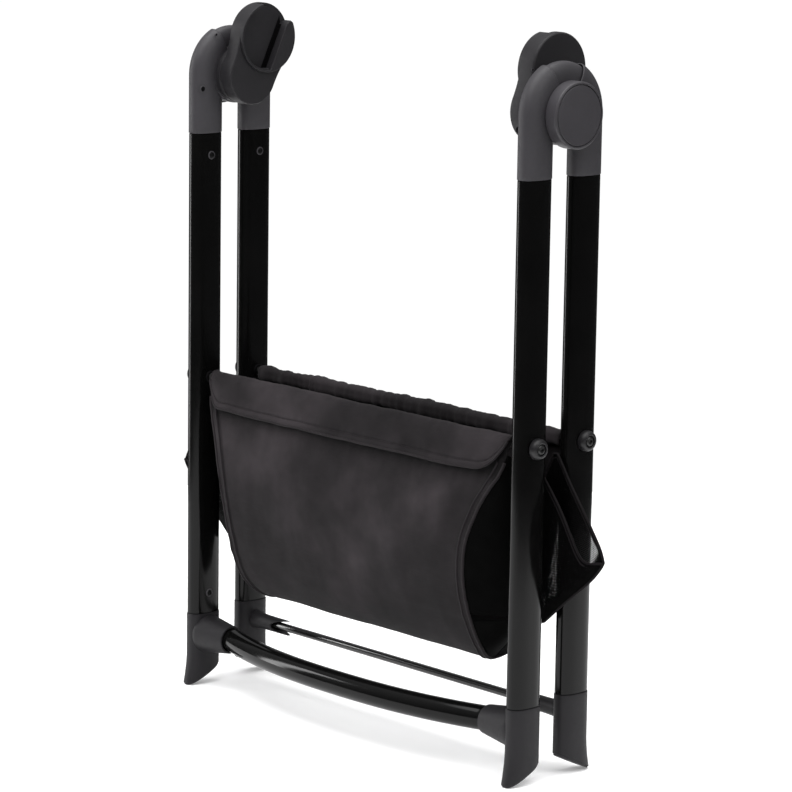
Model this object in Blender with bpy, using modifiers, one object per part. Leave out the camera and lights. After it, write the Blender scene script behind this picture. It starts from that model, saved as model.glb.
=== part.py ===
"""Folding bassinet stand, folded flat and standing on its toes.

Two leg frames share one hub axis. The front frame is fixed here and the back
frame swings backwards about the hubs. A fabric storage basket hangs on two
rods between the frames. The bassinet adaptors sit inside the hubs and turn
with the back frame.

Metres, +Z up, +X the stand's right, -Y its front.
"""

import math

import bmesh
import bpy
from mathutils import Vector

# ---------------------------------------------------------------- dimensions
MM = 0.001

LEG_X = 266.3          # plane of each pair of legs, from the middle
LEG_Y = 36.0           # each leg's axis, in front of and behind the hub axis
HUB_Z = 712.0          # height of the hub axis
TOE_V = 26.0           # toe of a foot, outwards from its leg's axis
BOW_DEPTH = 29.0       # how far the front bar bows forward
BAR_R = 13.5           # front bar
BOW_Y = -(LEG_Y + BOW_DEPTH)
BULGE = 65.0           # how far the basket's walls bulge
HUB_Y = ((LEG_Y + BOW_DEPTH + BAR_R) - (BULGE + 0.8)) / 2   # centres the box

SECTION_N = 2.5        # roundness of the legs' oval section
TUBE_A, TUBE_B = 11.5, 20.5      # half width and half depth of a leg tube
TUBE_WALL = 1.6
PART_A, PART_B = 12.0, 21.0      # the same of the elbows and feet
SPIGOT_A, SPIGOT_B = 9.6, 18.6   # what goes inside a tube
SPIGOT_LEN = 34.0
TOP_SEAM = 646.0
FOOT_SEAM_FRONT, FOOT_SEAM_BACK = 85.0, 89.0
GAP = 0.3

FRONT_ELBOW_END = -25.0          # degrees from straight up, towards the back
BACK_ELBOW_END = 27.0
CORE_A, CORE_B = 8.9, 18.4       # hub core's segment between the elbows
CAVITY_A, CAVITY_B = 9.6, 18.8   # room for it inside the back elbow
HUB_CUT_R = 33.5
CORE_R = 33.0
CHEEK_R = 33.1
PIN_R, PIN_BORE_R = 5.0, 5.4
X_ELBOW_IN = LEG_X - PART_A
X_CHEEK = X_ELBOW_IN + 2.9
X_CORE_IN, X_CORE_OUT = LEG_X - 8.7, LEG_X + 9.4
X_CAP = LEG_X + 27.8             # outer face of the hub cap
CAP_R, BUTTON_R = 35.2, 31.5

ADAPTOR_TILT = 25.0              # upright once the stand is open
ADAPTOR_REACH = 46.5             # its dish, from the hub axis
DISH_R, RIM_IN_R, BOSS_R = 39.2, 36.8, 33.0
WAIST_R = 120.0
SEAT_R, SEAT_CHORD, SEAT_RISE = 35.0, 13.0, 1.6    # raised seat in the dish's floor
X_PLATE_OUT, X_FLOOR, X_BOSS, X_RIM = 244.1, 234.5, 224.5, 220.9
CHORD_U, MOUTH_DEG = 18.0, 37.0

SOLE_DEG = 25.0
ROD_Z, ROD_R = 365.0, 4.0
BOW_Z = 60.0
CROSS_Z, CROSS_R = 66.0, 4.5

FABRIC = 1.6
MESH_FABRIC = 0.9

# ------------------------------------------------------------------- scene
for stray in list(bpy.data.objects):
    bpy.data.objects.remove(stray)
parts = bpy.data.collections.new("stand")
cutters = bpy.data.collections.new("cutters")
for c in (parts, cutters):
    bpy.context.scene.collection.children.link(c)


def material(name, colour, rough, metal=0.0):
    m = bpy.data.materials.new(name)
    m.use_nodes = True
    b = m.node_tree.nodes["Principled BSDF"]
    b.inputs["Base Color"].default_value = (*colour, 1)
    b.inputs["Roughness"].default_value = rough
    b.inputs["Metallic"].default_value = metal
    return m


TUBE_BLACK = material("tube_black", (0.012, 0.012, 0.013), 0.22)
PLASTIC = material("body_plastic", (0.045, 0.045, 0.048), 0.62)
CAP_PLASTIC = material("cap_plastic", (0.05, 0.05, 0.053), 0.6)
RUBBER = material("sole_rubber", (0.02, 0.02, 0.021), 0.85)
STEEL = material("dark_steel", (0.06, 0.06, 0.065), 0.35, 1.0)
CLOTH = material("basket_cloth", (0.02, 0.02, 0.022), 0.9)
NET = material("basket_net", (0.015, 0.015, 0.016), 0.9)


def place(x, y, z):
    """A point in metres from millimetres, with y measured from the hub axis."""
    return Vector((x * MM, (y + HUB_Y) * MM, z * MM))


def add(name, bm, mat, into=parts):
    bmesh.ops.recalc_face_normals(bm, faces=bm.faces[:])
    me = bpy.data.meshes.new(name)
    bm.to_mesh(me)
    bm.free()
    obj = bpy.data.objects.new(name, me)
    into.objects.link(obj)
    if mat:
        me.materials.append(mat)
    if into is cutters:
        obj.hide_render = True
        obj.display_type = "WIRE"
    return obj


def oval(a, b, count=24):
    """Points (across, along) of the rounded-oval section."""
    out = []
    for i in range(count):
        t = 2 * math.pi * (i + 0.5) / count
        c, s = math.cos(t), math.sin(t)
        out.append((a * math.copysign(abs(c) ** (2 / SECTION_N), c),
                    b * math.copysign(abs(s) ** (2 / SECTION_N), s)))
    return out


def circle(r, count, turn=0.0):
    return [(r * math.cos(2 * math.pi * (i + turn) / count),
             r * math.sin(2 * math.pi * (i + turn) / count)) for i in range(count)]


def loft(name, rings, mat, into=parts, closed=False):
    """A solid through rings of points in millimetres, all of one length."""
    bm = bmesh.new()
    rows = [[bm.verts.new(place(*p)) for p in ring] for ring in rings]
    n = len(rows[0])
    pairs = list(zip(rows, rows[1:])) + ([(rows[-1], rows[0])] if closed else [])
    for low, high in pairs:
        for i in range(n):
            j = (i + 1) % n
            bm.faces.new((low[i], low[j], high[j], high[i]))
    if not closed:
        bm.faces.new(rows[0][::-1])
        bm.faces.new(rows[-1])
    return add(name, bm, mat, into)


def spun(name, profile, y, z, mat, count=24, into=parts, sign=1, turn=0.0):
    """A turned part about an axis along X. The profile is a closed run of (x, radius) in millimetres; it may touch the axis."""
    bm = bmesh.new()
    loops = []
    for x, r in profile:
        if r <= 1e-9:
            loops.append([bm.verts.new(place(x * sign, y, z))])
        else:
            loops.append([bm.verts.new(place(x * sign, y + a, z + b))
                          for a, b in circle(r, count, turn)])
    for one, two in zip(loops, loops[1:] + loops[:1]):
        if len(one) == 1 and len(two) == 1:
            continue
        for i in range(count):
            j = (i + 1) % count
            a = [one[0]] if len(one) == 1 else [one[i], one[j]]
            b = [two[0]] if len(two) == 1 else [two[j], two[i]]
            bm.faces.new(a + b)
    return add(name, bm, mat, into)


def rod(name, x0, x1, r, y, z, mat=None, count=24, into=cutters, turn=0.0):
    """A plain cylinder along X."""
    return spun(name, [(x0, 0), (x0, r), (x1, r), (x1, 0)], y, z, mat, count, into, 1, turn)


def prism(name, outline, x0, x1, mat=None, into=cutters):
    """An outline of (y, z) points from the hub axis, run along X from x0 to x1."""
    return loft(name, [[(x, y, z) for y, z in outline] for x in (x0, x1)], mat, into)


def combine(obj, other, how):
    m = obj.modifiers.new(how.lower(), "BOOLEAN")
    m.operation = how
    m.solver = "EXACT"
    m.object = other
    return obj


def settle(obj):
    """Applies the modifiers, so that a mirrored copy can be taken."""
    bpy.context.view_layer.update()
    graph = bpy.context.evaluated_depsgraph_get()
    me = bpy.data.meshes.new_from_object(obj.evaluated_get(graph))
    obj.modifiers.clear()
    obj.data = me
    return obj


def mirrored(obj, name, about="X"):
    """A copy on the other side of the middle plane, or of the hub axis's upright plane."""
    bm = bmesh.new()
    bm.from_mesh(obj.data)
    for v in bm.verts:
        if about == "X":
            v.co.x = -v.co.x
        else:
            v.co.y = 2 * HUB_Y * MM - v.co.y
    bmesh.ops.reverse_faces(bm, faces=bm.faces[:])
    me = bpy.data.meshes.new(name)
    bm.to_mesh(me)
    bm.free()
    for m in obj.data.materials:
        me.materials.append(m)
    copy = bpy.data.objects.new(name, me)
    parts.objects.link(copy)
    return copy


def both_sides(obj):
    """obj is named ..._right; its twin is ..._left."""
    settle(obj)
    mirrored(obj, obj.name.replace("right", "left"))


# ------------------------------------------------------- legs, elbows, hubs
def section_ring(a, b, y, z, x=LEG_X):
    """A level ring of the leg's section, about a leg at y."""
    return [(x + p, y + q, z) for p, q in oval(a, b)]


def arc_ring(a, b, deg, x=LEG_X):
    """The same section turned about the hub axis, deg from straight up towards the back; 90 meets the leg."""
    s, c = math.sin(math.radians(deg)), math.cos(math.radians(deg))
    return [(x + p, (LEG_Y + q) * s, HUB_Z + (LEG_Y + q) * c) for p, q in oval(a, b)]


def elbow_rings(a, b, first, last, step):
    n = max(1, round(abs(last - first) / step))
    return [arc_ring(a, b, first + (last - first) * i / n) for i in range(n + 1)]


# Leg tubes, hollow and open at both ends inside the elbow and foot.
def leg_tube(where, y, seam):
    low, high = seam + GAP, TOP_SEAM - GAP
    outer = oval(TUBE_A, TUBE_B)
    inner = oval(TUBE_A - TUBE_WALL, TUBE_B - TUBE_WALL)
    rings = [[(LEG_X + p, y + q, z) for p, q in ring]
             for ring, z in ((outer, low), (outer, high), (inner, high), (inner, low))]
    tube = loft(f"leg_tube_{where}_right", rings, TUBE_BLACK, closed=True)
    cuts = [rod(f"cut_rod_in_{where}", LEG_X - 16, LEG_X, 4.5, y, ROD_Z, count=16, turn=0.3),
            rod(f"cut_rod_out_{where}", LEG_X + 1, LEG_X + 16, 3.2, y, ROD_Z, count=12, turn=0.3),
            rod(f"cut_top_{where}", LEG_X - 16, LEG_X - 2, 1.9, y, TOP_SEAM - 25, count=10, turn=0.3),
            rod(f"cut_low_{where}", LEG_X - 16, LEG_X - 2, 1.9, y, seam + 24, count=10, turn=0.3)][:4 if y < 0 else 3]
    for c in cuts:
        combine(tube, c, "DIFFERENCE")
    both_sides(tube)


leg_tube("front", -LEG_Y, FOOT_SEAM_FRONT)
leg_tube("back", LEG_Y, FOOT_SEAM_BACK)


# Elbows. Each leaves the tube straight and bends about the hub axis.
def elbow(where, side, end):
    def turned(ring):
        return ring if side > 0 else [(x, -y, z) for x, y, z in ring]
    rings = [section_ring(SPIGOT_A, SPIGOT_B, LEG_Y, TOP_SEAM - SPIGOT_LEN),
             section_ring(SPIGOT_A, SPIGOT_B, LEG_Y, TOP_SEAM),
             section_ring(PART_A, PART_B, LEG_Y, TOP_SEAM)]
    rings += elbow_rings(PART_A, PART_B, 90, side * end, 9)
    body = loft(f"elbow_{where}_right", [turned(r) for r in rings], PLASTIC)
    return body


front_elbow = elbow("front", -1, FRONT_ELBOW_END)
combine(front_elbow, rod("cut_hub_front", X_ELBOW_IN - 5, LEG_X + 20, HUB_CUT_R, 0, HUB_Z, count=48), "DIFFERENCE")
combine(front_elbow, rod("cut_screw_fe", LEG_X - 16, LEG_X - 4.6, 1.9, -LEG_Y, TOP_SEAM - 25, count=10), "DIFFERENCE")
both_sides(front_elbow)

back_elbow = elbow("back", 1, BACK_ELBOW_END)
cheek = spun("cheek", [(X_ELBOW_IN + 0.25, PIN_BORE_R), (X_ELBOW_IN + 0.25, CHEEK_R), (X_CHEEK + 1.0, CHEEK_R), (X_CHEEK + 1.0, PIN_BORE_R)],
             0, HUB_Z, None, 44, cutters)
combine(back_elbow, cheek, "UNION")
cavity = loft("cut_cavity", elbow_rings(CAVITY_A, CAVITY_B, BACK_ELBOW_END - 4, 84, 8), None, cutters)
combine(back_elbow, cavity, "DIFFERENCE")
combine(back_elbow, rod("cut_hub_back", X_CHEEK, LEG_X + 20, HUB_CUT_R, 0, HUB_Z, count=48), "DIFFERENCE")
combine(back_elbow, rod("cut_screw_be", LEG_X - 16, LEG_X - 4.6, 1.9, LEG_Y, TOP_SEAM - 25, count=10), "DIFFERENCE")
both_sides(back_elbow)

# The hub's core: a disc behind the cap, with the segment seen between the elbows.
core = loft("hub_core_right", elbow_rings(CORE_A, CORE_B, FRONT_ELBOW_END + 0.4, BACK_ELBOW_END + 3, 9), PLASTIC)
combine(core, spun("core_disc", [(X_CORE_IN, PIN_R + GAP), (X_CORE_IN, CORE_R), (X_CORE_OUT, CORE_R), (X_CORE_OUT, PIN_R + GAP)],
                   0, HUB_Z, None, 44, cutters), "UNION")
both_sides(core)

both_sides(spun("hub_pivot_right",
                [(240.5, 0), (240.5, 4.4), (241.1, PIN_R), (X_CORE_OUT + GAP, PIN_R), (X_CORE_OUT + GAP, 7.2),
                 (X_CORE_OUT + 2.6, 7.2), (X_CORE_OUT + 3.2, 6.4), (X_CORE_OUT + 3.2, 0)], 0, HUB_Z, STEEL))

RING_BACK = LEG_X + PART_A + GAP
BASE_TOP = RING_BACK + 1.4
both_sides(spun("hub_cap_ring_right",
                [(RING_BACK, CAP_R), (X_CAP - 1.2, CAP_R), (X_CAP, CAP_R - 1.2), (X_CAP, 32.1),
                 (BASE_TOP, 32.1), (BASE_TOP, 9.0), (X_CORE_OUT + 0.5, 9.0), (X_CORE_OUT + 0.5, 32.6), (RING_BACK, 32.6)],
                0, HUB_Z, CAP_PLASTIC, count=32))

both_sides(spun("release_button_right",
                [(X_CAP + 0.1, 0), (X_CAP - 0.1, BUTTON_R - 0.9), (X_CAP - 0.9, BUTTON_R), (X_CAP - 7.4, BUTTON_R),
                 (X_CAP - 7.4, BUTTON_R - 2.1), (X_CAP - 3.0, BUTTON_R - 2.1), (X_CAP - 3.0, 8.8), (X_CAP - 5.8, 8.8), (X_CAP - 5.8, 0)],
                0, HUB_Z, CAP_PLASTIC, count=32))


# The spring behind each button.
def coil(name, x0, x1, radius, wire, turns, per_turn=10, sides=6):
    rings = []
    n = turns * per_turn
    rise = (x1 - x0) / n
    pitch = math.atan2(x1 - x0, 2 * math.pi * radius * turns)
    for i in range(n + 1):
        t = 2 * math.pi * i / per_turn
        cx, cy, cz = x0 + rise * i, radius * math.cos(t), radius * math.sin(t)
        out = (0.0, math.cos(t), math.sin(t))
        up = (math.cos(pitch), math.sin(pitch) * math.sin(t), -math.sin(pitch) * math.cos(t))
        ring = []
        for p, q in circle(wire, sides):
            ring.append((cx + p * out[0] + q * up[0], cy + p * out[1] + q * up[1], HUB_Z + cz + p * out[2] + q * up[2]))
        rings.append(ring)
    return loft(name, rings, STEEL)


both_sides(coil("button_spring_right", BASE_TOP + 0.9, X_CAP - 3.9, 11.6, 0.6, 3))


# -------------------------------------------------------- bassinet adaptors
def from_dish(u, w):
    """(y, z) of a point u across and w along the adaptor, from its dish's centre."""
    t = math.radians(ADAPTOR_TILT)
    y = ADAPTOR_REACH * math.sin(t) + u * math.cos(t) + w * math.sin(t)
    z = HUB_Z + ADAPTOR_REACH * math.cos(t) - u * math.sin(t) + w * math.cos(t)
    return (y, z)


def waisted(big, small):
    """Outline of two discs with a soft waist between them."""
    d = ADAPTOR_REACH
    a, b = big + WAIST_R, small + WAIST_R
    w = -(d * d + a * a - b * b) / (2 * d)
    u = math.sqrt(a * a - w * w)
    top = math.degrees(math.atan2(-w, u))            # where the waist meets the big disc
    low = math.degrees(math.atan2(-d - w, u))        # and the small one
    pts = []

    def arc(cu, cw, r, start, stop, n):
        for i in range(n + 1):
            t = math.radians(start + (stop - start) * i / n)
            pts.append((cu + r * math.cos(t), cw + r * math.sin(t)))
    arc(0, 0, big, -top, 180 + top, 26)
    arc(-u, w, WAIST_R, top, low, 4)
    arc(0, -d, small, 180 + low, 360 - low, 18)
    arc(u, w, WAIST_R, 180 - low, 180 - top, 4)
    clean = []
    for p in pts:
        if not clean or math.dist(p, clean[-1]) > 0.2:
            clean.append(p)
    if math.dist(clean[0], clean[-1]) < 0.2:
        clean.pop()
    return clean


outline = [from_dish(u, w) for u, w in waisted(DISH_R, BOSS_R)]
base = prism("adaptor_base_right", outline, X_FLOOR, X_PLATE_OUT, PLASTIC, parts)
combine(base, rod("cut_bore_base", 239.8, LEG_X, PIN_BORE_R, 0, HUB_Z, turn=0.3), "DIFFERENCE")
combine(base, spun("collar", [(X_PLATE_OUT - 3, PIN_BORE_R + 0.1), (X_PLATE_OUT - 3, BOSS_R - 0.3), (X_ELBOW_IN - GAP, BOSS_R - 0.3), (X_ELBOW_IN - GAP, PIN_BORE_R + 0.1)],
                   0, HUB_Z, None, 40, cutters), "UNION")
reach = math.degrees(math.acos(SEAT_CHORD / SEAT_R))
seat = []
for k in range(37):
    t = math.radians(reach + (360 - 2 * reach) * k / 36)
    seat.append(from_dish(SEAT_R * math.cos(t), SEAT_R * math.sin(t)))
combine(base, prism("seat", seat, X_FLOOR - SEAT_RISE, X_FLOOR + 2), "UNION")
both_sides(base)

inner_outline = [from_dish(u, w) for u, w in waisted(DISH_R - 0.15, BOSS_R - 0.15)]
cover = prism("adaptor_cover_right", inner_outline, X_BOSS, X_FLOOR - GAP, PLASTIC, parts)
disc = [from_dish(*p) for p in circle(DISH_R, 44)]
combine(cover, prism("rim_disc", disc, X_RIM, X_FLOOR - GAP - 1), "UNION")
pocket = []
start = math.degrees(math.atan2(-math.sqrt(RIM_IN_R ** 2 - CHORD_U ** 2), CHORD_U))
stop = -(360 - (90 + MOUTH_DEG))
for k in range(25):
    t = math.radians(start + (stop - start) * k / 24)
    pocket.append((RIM_IN_R * math.cos(t), RIM_IN_R * math.sin(t)))
m = math.radians(MOUTH_DEG)
pocket += [(-60 * math.sin(m), 60 * math.cos(m)), (60 * math.sin(m), 60 * math.cos(m)),
           (CHORD_U, CHORD_U / math.tan(m))]
combine(cover, prism("cut_pocket", [from_dish(*p) for p in pocket], X_RIM - 5, X_FLOOR + 2), "DIFFERENCE")
both_sides(cover)


# --------------------------------------------------------------------- feet
PAD_TOE = max(q for _, q in oval(PART_A - 1.0, PART_B - 1.0)) * (1 + 5.0 / PART_B)


def foot_shape(a, b, t, side, grow, seam_drop):
    """A ring of the foot: t is 0 where it is straight and 1 at the sole; grow lifts it off the sole's plane."""
    out = []
    for p, q in oval(a, b):
        v = q + 5.0 * t * t * max(0.0, q / PART_B)
        sole = (PAD_TOE - v) * math.tan(math.radians(SOLE_DEG)) + grow
        z = (1 - t) * seam_drop + t * sole
        out.append((LEG_X + p, side * (LEG_Y + v), z))
    return out


def foot(where, side, seam):
    rings = [[(x, y, z) for x, y, z in section_ring(SPIGOT_A, SPIGOT_B, side * LEG_Y, seam + SPIGOT_LEN)],
             section_ring(SPIGOT_A, SPIGOT_B, side * LEG_Y, seam),
             section_ring(PART_A, PART_B, side * LEG_Y, seam)]
    if side < 0:
        rings = [[(x, -2 * LEG_Y - y, z) for x, y, z in r] for r in rings]
    rings += [foot_shape(PART_A, PART_B, t, side, 2.0, 42.0) for t in (0, 0.4, 0.75, 1)]
    return loft(f"foot_{where}_right", rings, PLASTIC)


def pad(where, side):
    rings = [foot_shape(PART_A - 1.0, PART_B - 1.0, 1, side, grow, 0) for grow in (1.7, 0.0)]
    both_sides(loft(f"sole_pad_{where}_right", rings, RUBBER))


front_foot = foot("front", -1, FOOT_SEAM_FRONT)
socket = spun("socket_front", [(LEG_X - 6, 0), (LEG_X - 6, 19), (LEG_X - 14, 19), (LEG_X - 26, 17.6), (214.8, 16.7), (214.0, 16.0), (214.0, 0)],
              -LEG_Y, BOW_Z, None, 28, cutters)
combine(front_foot, socket, "UNION")
combine(front_foot, rod("cut_socket_front", 205, 240.5, BAR_R + 0.4, -LEG_Y, BOW_Z, count=28), "DIFFERENCE")
combine(front_foot, rod("cut_screw_ff", LEG_X - 16, LEG_X - 4.6, 1.9, -LEG_Y, FOOT_SEAM_FRONT + 24, count=10), "DIFFERENCE")
both_sides(front_foot)

back_foot = foot("back", 1, FOOT_SEAM_BACK)
socket_b = spun("socket_back", [(LEG_X - 6, 0), (LEG_X - 6, 10.5), (LEG_X - 14, 10.5), (LEG_X - 24, 9.0), (195.0, 8.6), (195.0, 0)],
                LEG_Y, CROSS_Z, None, 20, cutters)
bm = bmesh.new()
corners = [(221.0, 0.0), (194.0, 8.9), (194.0, -8.9)]
rows = [[bm.verts.new(place(x, LEG_Y + y, CROSS_Z + z)) for x, z in corners] for y in (-14, 14)]
for i in range(3):
    j = (i + 1) % 3
    bm.faces.new((rows[0][i], rows[0][j], rows[1][j], rows[1][i]))
bm.faces.new(rows[0][::-1])
bm.faces.new(rows[1])
claw_cut = add("cut_claws", bm, None, cutters)
combine(back_foot, socket_b, "UNION")
combine(back_foot, rod("cut_socket_back", 180, 237.0, CROSS_R + 0.4, LEG_Y, CROSS_Z, count=20), "DIFFERENCE")
combine(back_foot, claw_cut, "DIFFERENCE")
both_sides(back_foot)
pad("front", -1)
pad("back", 1)


# ---------------------------------------------------------------- cross bars
def bow(x):
    """The front bar's line: straight in its sockets, bowed forward between them."""
    q = min(abs(x) / 209.0, 1.0)
    return BOW_Y + BOW_DEPTH * q ** 2.4


stations = []
for x in (-239.5, -211, -200, -185, -150, -100, -50, 0, 50, 100, 150, 185, 200, 211, 239.5):
    slope = (bow(x + 2) - bow(x - 2)) / 4
    length = math.hypot(1, slope)
    tx, ty = 1 / length, slope / length
    stations.append([(x - ty * p, bow(x) + tx * p, BOW_Z + q) for p, q in circle(BAR_R, 16)])
hollow = []
for x in (239.5, 211, 200, 185, 150, 100, 50, 0, -50, -100, -150, -185, -200, -211, -239.5):
    slope = (bow(x + 2) - bow(x - 2)) / 4
    length = math.hypot(1, slope)
    tx, ty = 1 / length, slope / length
    hollow.append([(x - ty * p, bow(x) + tx * p, BOW_Z + q) for p, q in circle(BAR_R - 1.5, 16)])
loft("front_bow_bar", stations + hollow, TUBE_BLACK, closed=True)

spun("back_cross_bar", [(-236, 0), (-236, CROSS_R - 0.6), (-235.4, CROSS_R), (235.4, CROSS_R), (236, CROSS_R - 0.6), (236, 0)],
     LEG_Y, CROSS_Z, TUBE_BLACK, 18)

# --------------------------------------------------- basket rods and knobs
ROD_END = LEG_X + TUBE_A - TUBE_WALL - 0.5
for where, y in (("front", -LEG_Y), ("back", LEG_Y)):
    spun(f"basket_rod_{where}",
         [(-ROD_END, ROD_R), (ROD_END, ROD_R), (ROD_END, 2.9), (ROD_END - 12, 2.9), (ROD_END - 12, 0),
          (-ROD_END + 12, 0), (-ROD_END + 12, 2.9), (-ROD_END, 2.9)], y, ROD_Z, STEEL, 16)
    face = LEG_X + 20.2
    knob = spun(f"rod_knob_{where}_right",
                [(LEG_X + TUBE_A + GAP, 11.3), (face - 1.6, 11.3), (face - 0.4, 10.3), (face, 9.0), (face, 6.0), (face - 2.4, 6.0),
                 (face - 2.4, 3.0), (LEG_X + TUBE_A + GAP, 3.0)], y, ROD_Z, PLASTIC, 20)
    both_sides(knob)
    bolt = spun(f"rod_bolt_{where}_right",
                [(face - 0.1, 0), (face - 0.1, 4.9), (face - 0.6, 5.5), (face - 2.2, 5.5), (face - 2.2, 2.6), (ROD_END - 10, 2.6), (ROD_END - 10, 0)],
                y, ROD_Z, STEEL, 18)
    combine(bolt, rod(f"cut_hex_{where}", face - 1.7, face + 4, 2.9, y, ROD_Z, count=6), "DIFFERENCE")
    both_sides(bolt)

for where, y, seam in (("front", -LEG_Y, FOOT_SEAM_FRONT), ("back", LEG_Y, FOOT_SEAM_BACK)):
    for level, z in (("top", TOP_SEAM - 25), ("low", seam + 24)):
        if (where, level) == ("back", "low"):
            continue
        x = LEG_X - TUBE_A - 0.2
        both_sides(spun(f"tube_screw_{where}_{level}_right",
                        [(x - 1.7, 0), (x - 1.7, 2.3), (x - 0.9, 3.2), (x, 3.2), (x, 1.45), (x + 6.2, 1.45), (x + 6.2, 0)],
                        y, z, STEEL, 12))


# ------------------------------------------------------------------- basket
def sheet(name, grid, thick, mat):
    """A solid sheet from a grid of points in millimetres, thickened both ways."""
    bm = bmesh.new()
    rows = [[bm.verts.new(place(*p)) for p in row] for row in grid]
    for one, two in zip(rows, rows[1:]):
        for i in range(len(one) - 1):
            bm.faces.new((one[i], one[i + 1], two[i + 1], two[i]))
    obj = add(name, bm, mat)
    s = obj.modifiers.new("thickness", "SOLIDIFY")
    s.thickness = thick * MM
    s.offset = 0
    s.use_even_offset = True
    return obj


# Down the front wall: (distance in front of the hub axis, height, half width).
SLEEVE_R = 5.4
WALL = [(45.0, 348, 241.5), (49.5, 331, 235.5), (58.5, 300, 218), (63.6, 272, 207.5), (BULGE, 248, 201), (61.5, 218, 196.5),
        (55.5, 192, 195), (50.5, 174, 195.5)]
CORNER_HIGH, CORNER_LOW = (248.6, 10.0, 331.0), (236.0, 14.0, 174.0)    # the net's fold line at each end


def wall(name):
    """Sleeve over the rod, the wall below it, and the returns at its ends that lead to the net corners."""
    rows = []
    for deg in (-62, -18, 25, 68, 112, 155):
        t = math.radians(deg)
        rows.append([(x, -LEG_Y + SLEEVE_R * math.cos(t), ROD_Z + SLEEVE_R * math.sin(t)) for x in (-246, -120, 0, 120, 246)])
    for y, z, half in WALL:
        rows.append([(x, -y, z) for x in (-half, -half / 2, 0, half / 2, half)])
    obj = sheet(name, rows, FABRIC, CLOTH)
    return obj


front_panel = wall("basket_front_panel")
settle(front_panel)
mirrored(front_panel, "basket_back_panel", about="Y")

flap_rows = []
for y, z, half in ((37.5, 372.7, 232), (43.8, 370.7, 237.5), (47.2, 361, 240), (50.2, 348, 239), (52.4, 337.5, 231)):
    flap_rows.append([(x, -y, z - 1.5 * (1 - (x / half) ** 2) * (z < 340)) for x in (-half, -half * 0.66, -half * 0.33, 0, half * 0.33, half * 0.66, half)])
settle(sheet("basket_front_flap", flap_rows, FABRIC, CLOTH))

FLOOR = [(-47.5, 166.5, 195.5), (-40, 149.5, 196), (-29, 132.5, 194.5), (-15.5, 120, 189), (0, 115.5, 184),
         (15.5, 120, 189), (29, 132.5, 194.5), (40, 149.5, 196), (47.5, 166.5, 195.5)]
settle(sheet("basket_bottom_panel", [[(x, y, z) for x in (-half, -half / 2, 0, half / 2, half)] for y, z, half in FLOOR], FABRIC, CLOTH))


# Each end of the basket is net, pleated outwards between the legs. A half
# pleat has a return along its wall's end and a flap that folds at the return's edge.
def net_half():
    rows = []
    for y, z, half in WALL:
        t = (CORNER_HIGH[2] - z) / (CORNER_HIGH[2] - CORNER_LOW[2])
        cx, cy = (h + (l - h) * t for h, l in zip(CORNER_HIGH[:2], CORNER_LOW[:2]))
        if t < 0:                                   # the rim runs down to the fold line from the rod's end
            cx, cy = 248.5, 34.0
        rows.append([(half + 1.6, -y + 1.2, z), ((half + cx) / 2, -(y + cy) / 2, z), (cx, -cy, z)])
    back = sheet("net_return_front_right", rows, MESH_FABRIC, NET)
    both_sides(back)
    mirrored(back, "net_return_back_right", about="Y")
    mirrored(bpy.data.objects["net_return_front_left"], "net_return_back_left", about="Y")
    top, tip, low = Vector((250.4, -9.0, 330.0)), Vector((337.5, -1.4, 256.0)), Vector((237.8, -13.0, 173.5))
    bm = bmesh.new()
    n = (tip - top).cross(low - top).normalized() * (MESH_FABRIC / 2)
    tri = [top, tip, low]
    faces = []
    for s in (1, -1):
        faces.append([bm.verts.new(place(*(p + n * s))) for p in tri])
    bm.faces.new(faces[0])
    bm.faces.new(faces[1][::-1])
    for i in range(3):
        j = (i + 1) % 3
        bm.faces.new((faces[0][i], faces[1][i], faces[1][j], faces[0][j]))
    flap = add("net_flap_front_right", bm, NET)
    both_sides(flap)
    mirrored(flap, "net_flap_back_right", about="Y")
    mirrored(bpy.data.objects["net_flap_front_left"], "net_flap_back_left", about="Y")


net_half()
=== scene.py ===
import math

import bmesh
import bpy
import numpy as np
from mathutils import Matrix, Vector, noise


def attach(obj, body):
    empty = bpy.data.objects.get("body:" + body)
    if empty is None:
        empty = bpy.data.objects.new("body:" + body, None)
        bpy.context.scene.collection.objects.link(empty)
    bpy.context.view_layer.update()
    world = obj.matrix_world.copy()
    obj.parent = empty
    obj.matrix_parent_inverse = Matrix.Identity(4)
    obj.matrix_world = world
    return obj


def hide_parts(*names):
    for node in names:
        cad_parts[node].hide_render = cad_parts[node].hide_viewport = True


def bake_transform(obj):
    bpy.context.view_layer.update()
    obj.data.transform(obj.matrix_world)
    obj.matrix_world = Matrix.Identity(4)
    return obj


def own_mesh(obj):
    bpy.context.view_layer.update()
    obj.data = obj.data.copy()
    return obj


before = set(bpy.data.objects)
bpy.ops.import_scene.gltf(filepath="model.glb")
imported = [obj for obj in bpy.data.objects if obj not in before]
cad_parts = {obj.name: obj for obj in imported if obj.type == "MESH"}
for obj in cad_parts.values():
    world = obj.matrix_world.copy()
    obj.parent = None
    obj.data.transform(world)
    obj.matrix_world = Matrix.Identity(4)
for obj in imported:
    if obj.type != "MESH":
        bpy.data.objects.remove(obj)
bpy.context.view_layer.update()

# ------------------------------------------------------------ shared numbers
# Millimetres here, with y measured from the hub axis, as the frame was drawn.
MM = 0.001
HUB_Y = 6.35
LEG_X, LEG_Y, HUB_Z = 266.3, 36.0, 712.0
TOP_SEAM = 646.0
SEAM = {"front": 85.0, "back": 89.0}
TUBE_A, TUBE_B, TUBE_WALL = 11.5, 20.5, 1.6
PART_A, PART_B = 12.0, 21.0
HUB_CUT_R = 33.5
X_ELBOW_IN = LEG_X - PART_A
X_CAP = LEG_X + 27.8
X_CORE_IN, X_CORE_OUT = LEG_X - 8.7, LEG_X + 9.4
TILT, REACH, DISH_R, RIM_IN_R, BOSS_R, WAIST_R = 25.0, 46.5, 39.2, 36.8, 33.0, 120.0
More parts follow.
